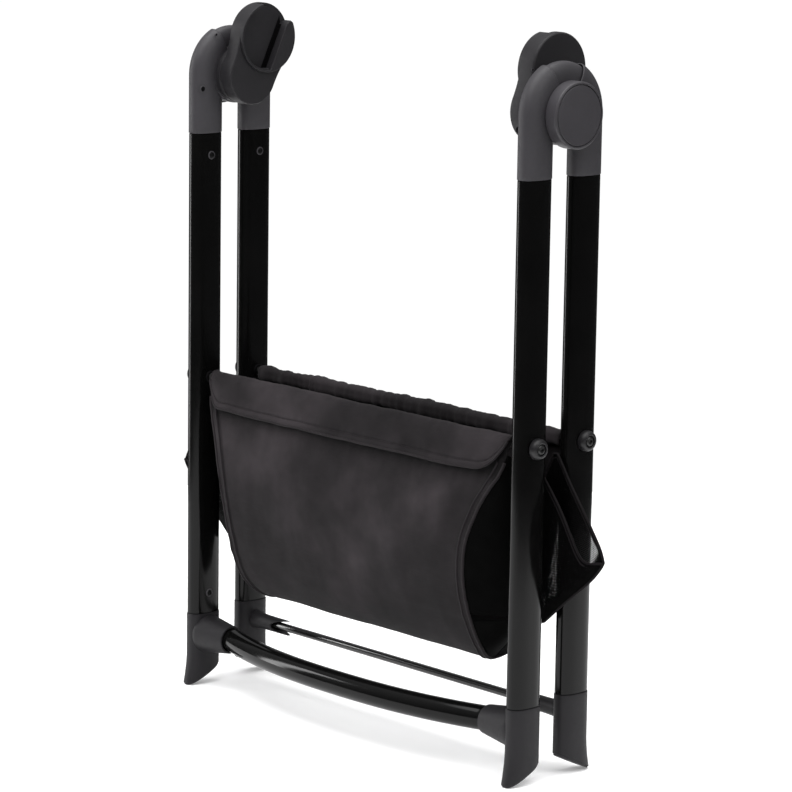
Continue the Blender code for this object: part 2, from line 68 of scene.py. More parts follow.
X_PLATE_OUT, X_FLOOR, X_BOSS, X_RIM = 244.1, 234.5, 224.5, 220.9
CHORD_U, MOUTH = 18.0, 37.0
SOLE = math.radians(25.0)
ROD_Z = 365.0
BAR_R, BOW_Y, BOW_DEPTH, BOW_Z = 13.5, -65.0, 29.0, 60.0
CROSS_Z, CROSS_R = 66.0, 4.5


def P(x, y, z):
    return (x * MM, (y + HUB_Y) * MM, z * MM)


# ---------------------------------------------------------------- materials
def new_mat(name):
    m = bpy.data.materials.new(name)
    m.use_nodes = True
    t = m.node_tree
    return m, t, t.nodes["Principled BSDF"]


def node(t, kind, **inputs):
    n = t.nodes.new(kind)
    for k, v in inputs.items():
        if k in n.inputs:
            n.inputs[k].default_value = v
        else:
            setattr(n, k, v)
    return n


def noise_tex(t, coord, scale, detail=3.0, rough=0.55, stretch=None):
    n = node(t, "ShaderNodeTexNoise")
    n.inputs["Scale"].default_value = scale
    n.inputs["Detail"].default_value = detail
    n.inputs["Roughness"].default_value = rough
    if stretch:
        mp = node(t, "ShaderNodeMapping")
        mp.inputs["Scale"].default_value = stretch
        t.links.new(coord, mp.inputs["Vector"])
        coord = mp.outputs["Vector"]
    t.links.new(coord, n.inputs["Vector"])
    return n


def ramp(t, fac, stops):
    r = node(t, "ShaderNodeValToRGB")
    e = r.color_ramp.elements
    while len(e) < len(stops):
        e.new(0.5)
    for i, (pos, col) in enumerate(stops):
        e[i].position = pos
        e[i].color = (*col, 1) if len(col) == 3 else col
    t.links.new(fac, r.inputs["Fac"])
    return r


def grey(v, warm=0.0):
    return (v * (1 + warm), v, v * (1 - warm))


def cloth_grey(v, warm=0.0):
    """A black dye that leans faintly to violet."""
    return (v * (1.13 + warm), v * 0.97, v * (1.08 - warm))


def resin_grey(v, warm=0.0):
    return (v * (1.03 + warm), v * 0.98, v * (1.12 - warm))


def map_range(t, value, lo, hi, a=0.0, b=1.0):
    n = node(t, "ShaderNodeMapRange")
    n.inputs["From Min"].default_value = a
    n.inputs["From Max"].default_value = b
    n.inputs["To Min"].default_value = lo
    n.inputs["To Max"].default_value = hi
    t.links.new(value, n.inputs["Value"])
    return n.outputs["Result"]


def bump(t, b, height, strength, distance, under=None):
    n = node(t, "ShaderNodeBump")
    n.inputs["Strength"].default_value = strength
    n.inputs["Distance"].default_value = distance
    t.links.new(height, n.inputs["Height"])
    if under:
        t.links.new(under.outputs["Normal"], n.inputs["Normal"])
    t.links.new(n.outputs["Normal"], b.inputs["Normal"])
    return n


def paint(name, base, rough_lo, rough_hi, gloss=0.27):
    """Gloss coat over drawn tube: faint draw lines along the length, a little orange peel, dust in the roughness."""
    m, t, b = new_mat(name)
    tc = node(t, "ShaderNodeTexCoord")
    o = tc.outputs["Object"]
    cloud = noise_tex(t, o, 14.0, 4.0)
    fine = noise_tex(t, o, 420.0, 2.0)
    lines = noise_tex(t, o, 1.0, 2.0, 0.6, stretch=(900.0, 900.0, 3.0))
    col = ramp(t, cloud.outputs["Fac"], [(0.3, grey(base * 0.85)), (0.7, grey(base * 1.25, 0.02))])
    t.links.new(col.outputs["Color"], b.inputs["Base Color"])
    t.links.new(map_range(t, cloud.outputs["Fac"], rough_lo, rough_hi, 0.3, 0.7), b.inputs["Roughness"])
    one = bump(t, b, lines.outputs["Fac"], 0.05, 0.0002)
    bump(t, b, fine.outputs["Fac"], 0.035, 0.0002, one)
    b.inputs["Specular IOR Level"].default_value = gloss
    return m


def moulded(name, base, rough, grain=0.16, scale=1500.0, shine=0.5):
    """Spark-textured moulding: fine grain, slow colour drift, slightly polished where it is rubbed."""
    m, t, b = new_mat(name)
    tc = node(t, "ShaderNodeTexCoord")
    o = tc.outputs["Object"]
    slow = noise_tex(t, o, 22.0, 4.0)
    fine = noise_tex(t, o, scale, 2.0, 0.5)
    mid = noise_tex(t, o, 260.0, 3.0)
    col = ramp(t, slow.outputs["Fac"], [(0.25, resin_grey(base * 0.9, 0.01)), (0.75, resin_grey(base * 1.12, 0.015))])
    t.links.new(col.outputs["Color"], b.inputs["Base Color"])
    t.links.new(map_range(t, mid.outputs["Fac"], rough - 0.06, rough + 0.05, 0.3, 0.7), b.inputs["Roughness"])
    one = bump(t, b, mid.outputs["Fac"], 0.05, 0.0004)
    bump(t, b, fine.outputs["Fac"], grain, 0.00025, one)
    b.inputs["Specular IOR Level"].default_value = shine
    return m


def metal(name, base, rough):
    m, t, b = new_mat(name)
    tc = node(t, "ShaderNodeTexCoord")
    slow = noise_tex(t, tc.outputs["Object"], 90.0, 4.0)
    col = ramp(t, slow.outputs["Fac"], [(0.3, grey(base * 0.8)), (0.7, grey(base * 1.3))])
    t.links.new(col.outputs["Color"], b.inputs["Base Color"])
    t.links.new(map_range(t, slow.outputs["Fac"], rough - 0.08, rough + 0.1, 0.3, 0.7), b.inputs["Roughness"])
    b.inputs["Metallic"].default_value = 0.85
    bump(t, b, noise_tex(t, tc.outputs["Object"], 700.0).outputs["Fac"], 0.06, 0.0002)
    return m


def woven(name, base, pitch=0.0009, sheen=0.03, shine=0.12):
    """Plain-weave polyester in the sheet's own flat coordinates, in metres. Its colour carries painted highlights and
    painted shade: a slow mottle, and the attribute deep.
    """
    m, t, b = new_mat(name)
    tc = node(t, "ShaderNodeTexCoord")
    uv = tc.outputs["UV"]
    waves = []
    for axis in ("X", "Y"):
        w = node(t, "ShaderNodeTexWave")
        w.wave_type = "BANDS"
        w.bands_direction = axis
        w.wave_profile = "SIN"
        w.inputs["Scale"].default_value = 2 * math.pi / (20 * pitch)
        w.inputs["Distortion"].default_value = 0.6
        w.inputs["Detail"].default_value = 1.0
        w.inputs["Detail Scale"].default_value = 1.4
        t.links.new(uv, w.inputs["Vector"])
        waves.append(w.outputs["Fac"])
    mul = node(t, "ShaderNodeMath", operation="MULTIPLY")
    t.links.new(waves[0], mul.inputs[0])
    t.links.new(waves[1], mul.inputs[1])
    # The slow mottle takes the colour from a third of the base up to twice it: partly random dye tone, partly painted
    # highlights and painted shade on the cloth.
    slow = noise_tex(t, uv, 7.5, 4.0, 0.55)
    slub = noise_tex(t, uv, 1.0, 3.0, 0.6, stretch=(60.0, 900.0, 1.0))
    add = node(t, "ShaderNodeMath", operation="ADD")
    t.links.new(map_range(t, slow.outputs["Fac"], 0.0, 0.8, 0.36, 0.64), add.inputs[0])
    t.links.new(map_range(t, slub.outputs["Fac"], 0.0, 0.2, 0.25, 0.75), add.inputs[1])
    col = ramp(t, add.outputs["Value"], [(0.0, cloth_grey(base * 0.35, 0.01)), (0.45, cloth_grey(base * 0.8, 0.01)), (1.0, cloth_grey(base * 2.0, 0.015))])
    # The attribute deep darkens the colour towards near-black: painted shade under the flap, by the binding and inside
    # the basket.
    deep = node(t, "ShaderNodeAttribute")
    deep.attribute_name = "deep"
    shade = node(t, "ShaderNodeMix", data_type="RGBA")
    t.links.new(deep.outputs["Fac"], shade.inputs["Factor"])
    t.links.new(col.outputs["Color"], shade.inputs[6])
    shade.inputs[7].default_value = (*cloth_grey(base * 0.12), 1)
    t.links.new(shade.outputs[2], b.inputs["Base Color"])
    t.links.new(map_range(t, slub.outputs["Fac"], 0.72, 0.9, 0.3, 0.7), b.inputs["Roughness"])
    b.inputs["Sheen Weight"].default_value = sheen
    b.inputs["Sheen Roughness"].default_value = 0.45
    b.inputs["Specular IOR Level"].default_value = shine
    one = bump(t, b, mul.outputs["Value"], 0.35, 0.0003)
    bump(t, b, noise_tex(t, uv, 240.0, 3.0).outputs["Fac"], 0.12, 0.0006, one)
    return m


def netting(name, base, pitch=0.0013, hole=0.31):
    """Fine knitted net. Points with the attribute solid at 1 are the sewn, closed parts."""
    m, t, b = new_mat(name)
    tc = node(t, "ShaderNodeTexCoord")
    mp = node(t, "ShaderNodeMapping")
    mp.inputs["Rotation"].default_value = (0, 0, math.radians(45))
    t.links.new(tc.outputs["UV"], mp.inputs["Vector"])
    v = node(t, "ShaderNodeTexVoronoi")
    v.voronoi_dimensions = "2D"
    v.inputs["Scale"].default_value = 1 / pitch
    v.inputs["Randomness"].default_value = 0.12
    t.links.new(mp.outputs["Vector"], v.inputs["Vector"])
    thread = map_range(t, v.outputs["Distance"], 0.0, 1.0, hole - 0.05, hole + 0.05)
    at = node(t, "ShaderNodeAttribute")
    at.attribute_name = "solid"
    mx = node(t, "ShaderNodeMath", operation="MAXIMUM")
    t.links.new(thread, mx.inputs[0])
    t.links.new(at.outputs["Fac"], mx.inputs[1])
    t.links.new(mx.outputs["Value"], b.inputs["Alpha"])
    slow = noise_tex(t, tc.outputs["UV"], 60.0, 3.0)
    col = ramp(t, slow.outputs["Fac"], [(0.3, grey(base * 0.8)), (0.7, grey(base * 1.3))])
    t.links.new(col.outputs["Color"], b.inputs["Base Color"])
    b.inputs["Roughness"].default_value = 0.7
    b.inputs["Specular IOR Level"].default_value = 0.02
    bump(t, b, v.outputs["Distance"], 0.4, 0.0004)
    return m


PAINT = paint("gloss_leg_paint", 0.0022, 0.13, 0.19, 0.17)
BAR_PAINT = paint("gloss_bar_paint", 0.0022, 0.09, 0.15, 0.17)
CROSS_PAINT = paint("gloss_cross_bar_paint", 0.012, 0.12, 0.2, 0.6)
PLASTIC = moulded("charcoal_moulding", 0.032, 0.56)
FOOT_PLASTIC = moulded("foot_moulding", 0.0105, 0.5, shine=0.2)
ADAPT_PLASTIC = moulded("adaptor_moulding", 0.0135, 0.52, 0.2, 1200.0, 0.3)
CAP_MAT = moulded("cap_moulding", 0.036, 0.5, 0.1, 2200.0)
NET_TRIM_BASE = 0.007
KNOB_PLASTIC = moulded("knob_moulding", 0.007, 0.42, shine=0.35)
# Near-black: the rod bushes' own colour, and painted shade on the elbow dimples' bottoms and beside the adaptor's fin.
DARK_PLASTIC_AND_SHADE = moulded("dark_moulding_and_painted_shade", 0.002, 0.7, 0.12, shine=0.05)
RUBBER = moulded("sole_rubber_black", 0.018, 0.82, 0.4, 600.0)
STEEL = metal("black_steel", 0.035, 0.36)
SCREW_STEEL = metal("screw_black", 0.006, 0.36)
ROD_STEEL = metal("dull_rod_steel", 0.10, 0.32)
CLOTH = woven("black_weave", 0.0132)
# A darker, sheenless copy of the weave for the basket's inside: painted shade. No piece uses it.
CLOTH_SHADED_INSIDE = woven("black_weave_painted_shade_inside", 0.004, sheen=0.0, shine=0.05)
TRIM = woven("edge_binding", 0.014, 0.0007, 0.03)
NET_TRIM = woven("net_binding", NET_TRIM_BASE, 0.0007, 0.0, 0.08)
THREAD = woven("sewing_thread", 0.018, 0.0004, 0.03)
NET = netting("black_net", 0.0016)


# ------------------------------------------------------------- mesh helpers
def lay(rings, wrap=False, caps=True):
    """Faces through rings of equal length; wrap joins the last ring to the first."""
    n = len(rings[0])
    verts = [tuple(p) for r in rings for p in r]
    faces = []
    m = len(rings)
    for a in range(m if wrap else m - 1):
        b = (a + 1) % m
        for i in range(n):
            j = (i + 1) % n
            faces.append((a * n + i, a * n + j, b * n + j, b * n + i))
    if caps and not wrap:
        faces.append(tuple(range(n))[::-1])
        faces.append(tuple((m - 1) * n + i for i in range(n)))
    return verts, faces


def join(*parts):
    verts, faces = [], []
    for v, f in parts:
        k = len(verts)
        verts += list(v)
        faces += [tuple(i + k for i in q) for q in f]
    return verts, faces


def make(name, shape, mat, angle=32.0, solid=True):
    verts, faces = shape
    me = bpy.data.meshes.new(name)
    me.from_pydata([P(*v) for v in verts], [], faces)
    bm = bmesh.new()
    bm.from_mesh(me)
    bmesh.ops.remove_doubles(bm, verts=bm.verts[:], dist=1e-6)
    bmesh.ops.dissolve_degenerate(bm, edges=bm.edges[:], dist=1e-6)
    bmesh.ops.triangulate(bm, faces=[f for f in bm.faces if len(f.verts) > 4], quad_method="BEAUTY", ngon_method="EAR_CLIP")
    if solid:
        bmesh.ops.recalc_face_normals(bm, faces=bm.faces[:])
    bm.to_mesh(me)
    bm.free()
    me.shade_smooth()
    me.set_sharp_from_angle(angle=math.radians(angle))
    me.materials.append(mat)
    obj = bpy.data.objects.new(name, me)
    bpy.context.scene.collection.objects.link(obj)
    return obj


def piece(name, shape, mat, body, nodes=(), angle=32.0):
    obj = make(name, shape, mat, angle)
    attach(obj, body)
    if nodes:
        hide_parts(*nodes)
    return obj


def flip(shape, axis=0):
    verts, faces = shape
    out = []
    for v in verts:
        v = list(v)
        v[axis] = -v[axis]
        out.append(tuple(v))
    return out, [f[::-1] for f in faces]


def two(stem, shape, mat, body, replace=True, angle=32.0, cad=None):
    """The right piece and its mirror on the left. body and cad may hold {s}."""
    made = []
    for s in ("right", "left"):
        cadname = (cad or stem + "_{s}").replace("{s}", s)
        made.append(piece(f"v_{stem}_{s}", shape if s == "right" else flip(shape), mat,
                          body.replace("{s}", s), (cadname,) if replace else (), angle))
    return made


def oval(a, b, count=96, power=2.5):
    out = []
    for i in range(count):
        t = 2 * math.pi * (i + 0.5) / count
        c, s = math.cos(t), math.sin(t)
        out.append((a * math.copysign(abs(c) ** (2 / power), c), b * math.copysign(abs(s) ** (2 / power), s)))
    return out


def circle(r, count, turn=0.0):
    return [(r * math.cos(2 * math.pi * (i + turn) / count), r * math.sin(2 * math.pi * (i + turn) / count)) for i in range(count)]


def soften(points, radii, steps=4, closed=True):
    """Rounds the corners of a polyline by the given distances."""
    out, n = [], len(points)
    for i, p in enumerate(points):
        r = radii[i] if hasattr(radii, "__len__") else radii
        if r <= 0 or (not closed and i in (0, n - 1)):
            out.append(tuple(p))
            continue
        a, c = points[i - 1], points[(i + 1) % n]
        p, a, c = np.array(p, float), np.array(a, float), np.array(c, float)
        la, lc = np.linalg.norm(a - p), np.linalg.norm(c - p)
        s, e = p + (a - p) * min(r / la, 0.49), p + (c - p) * min(r / lc, 0.49)
        for k in range(steps + 1):
            t = k / steps
            out.append(tuple((1 - t) ** 2 * s + 2 * t * (1 - t) * p + t * t * e))
    return out


def spun(profile, y, z, count=96, radii=0.0, steps=3):
    """Turned about an axis along X. The profile is a closed run of (x, radius), which may start and end on the axis."""
    open_axis = profile[0][1] <= 1e-9 and profile[-1][1] <= 1e-9
    pts = soften(profile, radii, steps, closed=not open_axis) if np.any(np.array(radii) > 0) else [tuple(p) for p in profile]
    rings = [[(x, y + a, z + b) for a, b in circle(max(r, 1e-4), count)] for x, r in pts]
    return lay(rings, wrap=not open_axis, caps=open_axis)


def inset(outline, d):
    """The outline moved inwards by d; it runs anticlockwise."""
    pts = np.array(outline, float)
    area = 0.5 * np.sum(pts[:, 0] * np.roll(pts[:, 1], -1) - np.roll(pts[:, 0], -1) * pts[:, 1])
    side = 1.0 if area > 0 else -1.0
    e0 = pts - np.roll(pts, 1, 0)
    e1 = np.roll(pts, -1, 0) - pts
    e0 /= np.linalg.norm(e0, axis=1)[:, None] + 1e-12
    e1 /= np.linalg.norm(e1, axis=1)[:, None] + 1e-12
    n0 = np.stack([-e0[:, 1], e0[:, 0]], 1) * side
    n1 = np.stack([-e1[:, 1], e1[:, 0]], 1) * side
    n = n0 + n1
    k = np.clip((n * n0).sum(1), 0.6, 2.0)
    return [tuple(q) for q in pts + n / k[:, None] * d]


def plate(outline, to_yz, x0, x1, round0=0.0, round1=0.0, steps=3):
    """A bevelled slab: the outline in its own plane, run along X from x0 to x1."""
    rings = []

    def ring(x, d):
        rings.append([(x, *to_yz(*q)) for q in (inset(outline, d) if d > 0 else outline)])
    s = 1 if x1 > x0 else -1
    if round0 > 0:
        for k in range(steps + 1):
            t = math.pi / 2 * k / steps
            ring(x0 + s * round0 * (1 - math.cos(t)), round0 * (1 - math.sin(t)))
        rings.insert(0, [(x0, *to_yz(*q)) for q in inset(outline, round0 + 0.06)])
    else:
        ring(x0, 0)
    if round1 > 0:
        for k in range(steps + 1):
            t = math.pi / 2 * k / steps
            ring(x1 - s * round1 * (1 - math.sin(t)), round1 * (1 - math.cos(t)))
        ring(x1, round1 + 0.06)
    else:
        ring(x1, 0)
    return lay(rings)


def curve_through(points, count):
    """Catmull-Rom points at even arc length."""
    p = np.array(points, float)
    p = np.vstack([2 * p[0] - p[1], p, 2 * p[-1] - p[-2]])
    fine = []
    for i in range(1, len(p) - 2):
        for t in np.linspace(0, 1, 24, endpoint=False):
            a, b, c, d = p[i - 1], p[i], p[i + 1], p[i + 2]
            fine.append(0.5 * ((2 * b) + (c - a) * t + (2 * a - 5 * b + 4 * c - d) * t * t + (3 * b - a - 3 * c + d) * t ** 3))
    fine.append(p[-2])
    fine = np.array(fine)
    s = np.concatenate([[0], np.cumsum(np.linalg.norm(np.diff(fine, axis=0), axis=1))])
    want = np.linspace(0, s[-1], count)
    return np.stack([np.interp(want, s, fine[:, k]) for k in range(fine.shape[1])], 1)


def sweep(path, radius, sides=12, flat=1.0, taper=0.0, up=(0.0, 0.0, 1.0)):
    """A cord-like tube along a path of points in millimetres."""
    p = np.array(path, float)
    tan = np.gradient(p, axis=0)
    tan /= np.linalg.norm(tan, axis=1)[:, None] + 1e-12
    ref = np.array(up, float)
    rings = []
    for i, (q, t) in enumerate(zip(p, tan)):
        a = np.cross(t, ref)
        if np.linalg.norm(a) < 1e-4:
            a = np.cross(t, np.array((1.0, 0.0, 0.0)))
        a /= np.linalg.norm(a)
        b = np.cross(t, a)
        ref = -b if np.dot(-b, ref) > 0 else b
        r = radius * (1 - taper * (i in (0, len(p) - 1)))
        rings.append([tuple(q + a * u * r * flat + b * v * r) for u, v in circle(1.0, sides)])
    return lay(rings)


def stitches(path, lift, length=2.6, gap=1.3, r=0.38):
    """A run of thread stitches along a path, lifted off the cloth by the vectors lift."""
    p = np.array(path, float)
    lift = np.array(lift, float)
    s = np.concatenate([[0], np.cumsum(np.linalg.norm(np.diff(p, axis=0), axis=1))])
    parts, at = [], gap
    while at + length < s[-1]:
        run = []
        for k in range(5):
            d = at + length * k / 4
            q = np.array([np.interp(d, s, p[:, c]) for c in range(3)])
            n = np.array([np.interp(d, s, lift[:, c]) for c in range(3)])
            n /= np.linalg.norm(n) + 1e-12
            run.append(q + n * (0.25 if k in (1, 2, 3) else -0.25))
        parts.append(sweep(run, r, 6, up=(0.3, 0.2, 1.0)))
        at += length + gap
    return join(*parts)


# --------------------------------------------------------------- leg tubes
def tube(y, seam):
    low, high = seam + 0.3, TOP_SEAM - 0.3
    rings = []
    for a, z in ((0.35, low), (0.0, low + 0.4), (0.0, (low + high) / 2), (0.0, high - 0.4), (0.35, high)):
        rings.append([(LEG_X + p, y + q, z) for p, q in oval(TUBE_A - a, TUBE_B - a, 128)])
    for z in (high, low):
        rings.append([(LEG_X + p, y + q, z) for p, q in oval(TUBE_A - TUBE_WALL, TUBE_B - TUBE_WALL, 128)])
    return lay(rings, wrap=True)


for where, y in (("front", -LEG_Y), ("back", LEG_Y)):
    two(f"leg_tube_{where}", tube(y, SEAM[where]), PAINT, f"{where}_frame")


# ------------------------------------------------------------------- elbows
def clear_hub(p):
    """Pushes a point out of the room that the hub's core turns in."""
    x, y, z = p
    d = math.hypot(y, z - HUB_Z)
    if d >= HUB_CUT_R:
        return p
    if z >= HUB_Z:
        k = HUB_CUT_R / max(d, 1e-6)
        return (x, y * k, HUB_Z + (z - HUB_Z) * k)
    return (x, math.sqrt(HUB_CUT_R ** 2 - (z - HUB_Z) ** 2), z)


def arc_ring(a, b, deg, count=96):
    s, c = math.sin(math.radians(deg)), math.cos(math.radians(deg))
    return [(LEG_X + p, (LEG_Y + q) * s, HUB_Z + (LEG_Y + q) * c) for p, q in oval(a, b, count)]


def level_ring(a, b, z, count=96):
    return [(LEG_X + p, LEG_Y + q, z) for p, q in oval(a, b, count)]


def elbow(end, mouth):
    """An elbow on the +Y side, from inside the tube round to end degrees from straight up."""
    rings = [level_ring(9.6, 18.6, 612.0), level_ring(9.6, 18.6, TOP_SEAM + 0.2), level_ring(PART_A - 0.7, PART_B - 0.7, TOP_SEAM + 0.15),
             level_ring(PART_A - 0.2, PART_B - 0.2, TOP_SEAM + 0.35), level_ring(PART_A, PART_B, TOP_SEAM + 0.9)]
    for z in np.arange(652, 712, 3.0):
        rings.append([clear_hub(p) for p in level_ring(PART_A, PART_B, z)])
    n = 26
    for i in range(n + 1):
        rings.append([clear_hub(p) for p in arc_ring(PART_A, PART_B, 90 + (end + 1.2 - 90) * i / n)])
    if mouth:
        for a, d in ((0.15, 0.4), (0.5, 0.08), (0.9, 0.0), (1.2, 0.1)):
            rings.append([clear_hub(p) for p in arc_ring(PART_A - a, PART_B - a, end + d)])
        for d in [1.2] + [4.0 * k for k in range(1, 15)]:
            rings.append([clear_hub(p) for p in arc_ring(10.6, 19.7, end + d)])
        rings.append([clear_hub(p) for p in arc_ring(2.0, 4.0, end + 56.2)])
    else:
        for a, d in ((0.5, 0.5), (1.4, 0.1), (2.4, 0.0)):
            rings.append([clear_hub(p) for p in arc_ring(PART_A - a, PART_B - a, end + d)])
    return lay(rings)


front_elbow = flip(elbow(25.0, False), 1)
hole_y, hole_z = -49.6, 697.1
two("elbow_front", front_elbow, PLASTIC, "front_frame", angle=40)
back_elbow = join(elbow(27.0, True),
                  spun([(X_ELBOW_IN + 0.25, 5.4), (X_ELBOW_IN + 0.25, 33.1), (X_ELBOW_IN + 3.0, 33.1), (X_ELBOW_IN + 3.0, 5.4)], 0, HUB_Z, 96, 0.4))
two("elbow_back", back_elbow, PLASTIC, "back_frame", angle=40)

# The small dimples on the front elbows' inner faces: a raised lip round a near-black disc, a painted shade standing for
# the hole's dark bottom.
for n, (dy, dz, r) in enumerate(((hole_y, hole_z, 2.8), (-30.5, 757.6, 1.0))):
    lip = spun([(X_ELBOW_IN - 0.35, r), (X_ELBOW_IN - 0.35, r + 0.7), (X_ELBOW_IN + 0.6, r + 1.2), (X_ELBOW_IN + 0.6, r)], dy, dz, 36, 0.12)
    dimple_shade_disc = spun([(X_ELBOW_IN - 0.18, 0), (X_ELBOW_IN - 0.18, r + 0.2), (X_ELBOW_IN + 0.5, r + 0.2), (X_ELBOW_IN + 0.5, 0)], dy, dz, 36)
    two(f"elbow_dimple_lip_{n}", lip, PLASTIC, "front_frame", replace=False)
    two(f"elbow_dimple_{n}", dimple_shade_disc, DARK_PLASTIC_AND_SHADE, "front_frame", replace=False)

# ---------------------------------------------------------------- hub cores
def off_disc(ring, r=33.9):
    """Keeps the core's segment clear of the wall that the elbows close round the disc."""
    out = []
    for x, y, z in ring:
        k = max(1.0, r / max(math.hypot(y, z - HUB_Z), 1e-6))
        out.append((x, y * k, HUB_Z + (z - HUB_Z) * k))
    return out


core = []
for i in range(25):
    core.append(off_disc(arc_ring(8.9, 18.4, -24.6 + 54.6 * i / 24)))
core = [off_disc(arc_ring(7.9, 17.4, -25.0), 34.4)] + core + [off_disc(arc_ring(7.9, 17.4, 30.4), 34.4)]
core_shape = join(lay(core), spun([(X_CORE_IN, 5.3), (X_CORE_IN, 33.0), (X_CORE_OUT, 33.0), (X_CORE_OUT, 5.3)], 0, HUB_Z, 96, 0.5))
two("hub_core", core_shape, PLASTIC, "front_frame")
two("hub_pivot", spun([(240.5, 0), (240.5, 5.0), (X_CORE_OUT + 0.3, 5.0), (X_CORE_OUT + 0.3, 7.2), (X_CORE_OUT + 3.0, 7.2), (X_CORE_OUT + 3.0, 0)],
                      0, HUB_Z, 48, 0.4), STEEL, "front_frame")

RING_BACK = LEG_X + PART_A + 0.3
ring_profile = [(RING_BACK, 34.4), (RING_BACK + 0.6, 35.2), (X_CAP - 1.3, 35.2), (X_CAP - 0.05, 33.9), (X_CAP - 0.05, 32.15), (RING_BACK + 1.4, 32.1),
                (RING_BACK + 1.4, 9.0), (X_CORE_OUT + 0.5, 9.0), (X_CORE_OUT + 0.5, 32.6), (RING_BACK, 32.6)]
two("hub_cap_ring", spun(ring_profile, 0, HUB_Z, 128, [0.2, 0.3, 0.7, 0.8, 0.25, 0, 0, 0, 0, 0]), CAP_MAT, "front_frame", angle=28)
button_profile = [(X_CAP + 0.35, 0), (X_CAP + 0.3, 12.0), (X_CAP + 0.12, 24.0), (X_CAP - 0.12, BUTTON := 31.1), (X_CAP - 0.9, 31.45), (X_CAP - 7.4, 31.45),
                  (X_CAP - 7.4, 29.4), (X_CAP - 3.0, 29.4), (X_CAP - 3.0, 8.8), (X_CAP - 5.8, 8.8), (X_CAP - 5.8, 0)]
two("release_button", spun(button_profile, 0, HUB_Z, 128, [0, 2, 2, 0.5, 0.3, 0, 0, 0, 0, 0, 0]), CAP_MAT, "release_{s}", angle=28)


# ----------------------------------------------------------------- adaptors
def dish(u, w):
    t = math.radians(TILT)
    return (REACH * math.sin(t) + u * math.cos(t) + w * math.sin(t), HUB_Z + REACH * math.cos(t) - u * math.sin(t) + w * math.cos(t))


def arc(cu, cw, r, start, stop, n):
    return [(cu + r * math.cos(math.radians(start + (stop - start) * i / n)), cw + r * math.sin(math.radians(start + (stop - start) * i / n))) for i in range(n + 1)]


def waist_numbers(big, small):
    d, a, b = REACH, big + WAIST_R, small + WAIST_R
    w = -(d * d + a * a - b * b) / (2 * d)
    u = math.sqrt(a * a - w * w)
    return u, w, math.degrees(math.atan2(-w, u)), math.degrees(math.atan2(-d - w, u))


def tidy(pts, least=0.15):
    out = []
    for p in pts:
        if not out or math.dist(p, out[-1]) > least:
            out.append(p)
    while math.dist(out[0], out[-1]) < least:
        out.pop()
    return out


def waisted(big, small):
    u, w, top, low = waist_numbers(big, small)
    return tidy(arc(0, 0, big, -top, 180 + top, 90) + arc(-u, w, WAIST_R, top, low, 16) + arc(0, -REACH, small, 180 + low, 360 - low, 64) + arc(u, w, WAIST_R, 180 - low, 180 - top, 16))


def boss_region(big, small, back):
    """The face below the dish: waist, boss and the dish's lower arc."""
    u, w, top, low = waist_numbers(big, small)
    return tidy(arc(-u, w, WAIST_R, top, low, 16) + arc(0, -REACH, small, 180 + low, 360 - low, 64) + arc(u, w, WAIST_R, 180 - low, 180 - top, 16)
                + arc(0, 0, back, 360 - top, 180 + top, 60))


SEAT_R, SEAT_CHORD = 35.0, 13.0
reach = math.degrees(math.acos(SEAT_CHORD / SEAT_R))
base_shape = join(plate(waisted(DISH_R, BOSS_R), dish, X_FLOOR, X_PLATE_OUT, 0.0, 2.2, 5),
                  plate(arc(0, 0, SEAT_R, reach, 360 - reach, 90), dish, X_FLOOR - 1.6, X_FLOOR + 1.0, 0.5, 0.0, 4),
                  spun([(X_PLATE_OUT - 3, 5.6), (X_PLATE_OUT - 3, 31.0), (X_PLATE_OUT, 31.0), (X_PLATE_OUT + 0.6, 31.6), (X_PLATE_OUT + 1.2, 32.7), (X_ELBOW_IN - 3.0, 32.7), (X_ELBOW_IN - 3.0, 29.5), (X_ELBOW_IN - 0.3, 29.5), (X_ELBOW_IN - 0.3, 5.6)],
                       0, HUB_Z, 96, [0, 0, 0, 0.3, 0.5, 0.6, 0, 0, 0]))
two("adaptor_base", base_shape, ADAPT_PLASTIC, "back_frame", angle=40)

m = math.radians(MOUTH)
low_deg = math.degrees(math.atan2(-math.sqrt(RIM_IN_R ** 2 - CHORD_U ** 2), CHORD_U))
tip = (math.sin(m) * DISH_R, math.cos(m) * DISH_R)
fin_top = (CHORD_U, CHORD_U / math.tan(m))
outer = arc(0, 0, DISH_R, 90 + MOUTH, 360 + 90 - MOUTH - 4, 110)
inner = [(CHORD_U, fin_top[1] + 0.6)] + [(CHORD_U, fin_top[1] + (-32.1 - fin_top[1]) * k / 10) for k in range(1, 10)] + arc(0, 0, RIM_IN_R, low_deg + 360, 90 + MOUTH, 80)
rim_outline = tidy(outer + [(tip[0] - 1.6, tip[1] - 1.0)] + inner, 0.3)
step_outline = tidy(arc(0, 0, RIM_IN_R + 0.4, 110 + MOUTH, 360 + low_deg - 2, 80) + arc(0, 0, RIM_IN_R - 1.7, 360 + low_deg - 2, 110 + MOUTH, 80), 0.2)
cover_shape = join(plate(boss_region(DISH_R, BOSS_R, 35.1), dish, X_BOSS, X_FLOOR + 0.1, 1.3, 0.0, 5),
                   plate(rim_outline, dish, X_RIM, X_FLOOR + 0.1, 0.75, 0.0, 4),
                   plate(step_outline, dish, X_RIM + 4.2, X_FLOOR + 0.1, 0.6, 0.0, 4))
two("adaptor_cover", cover_shape, ADAPT_PLASTIC, "back_frame", angle=40)
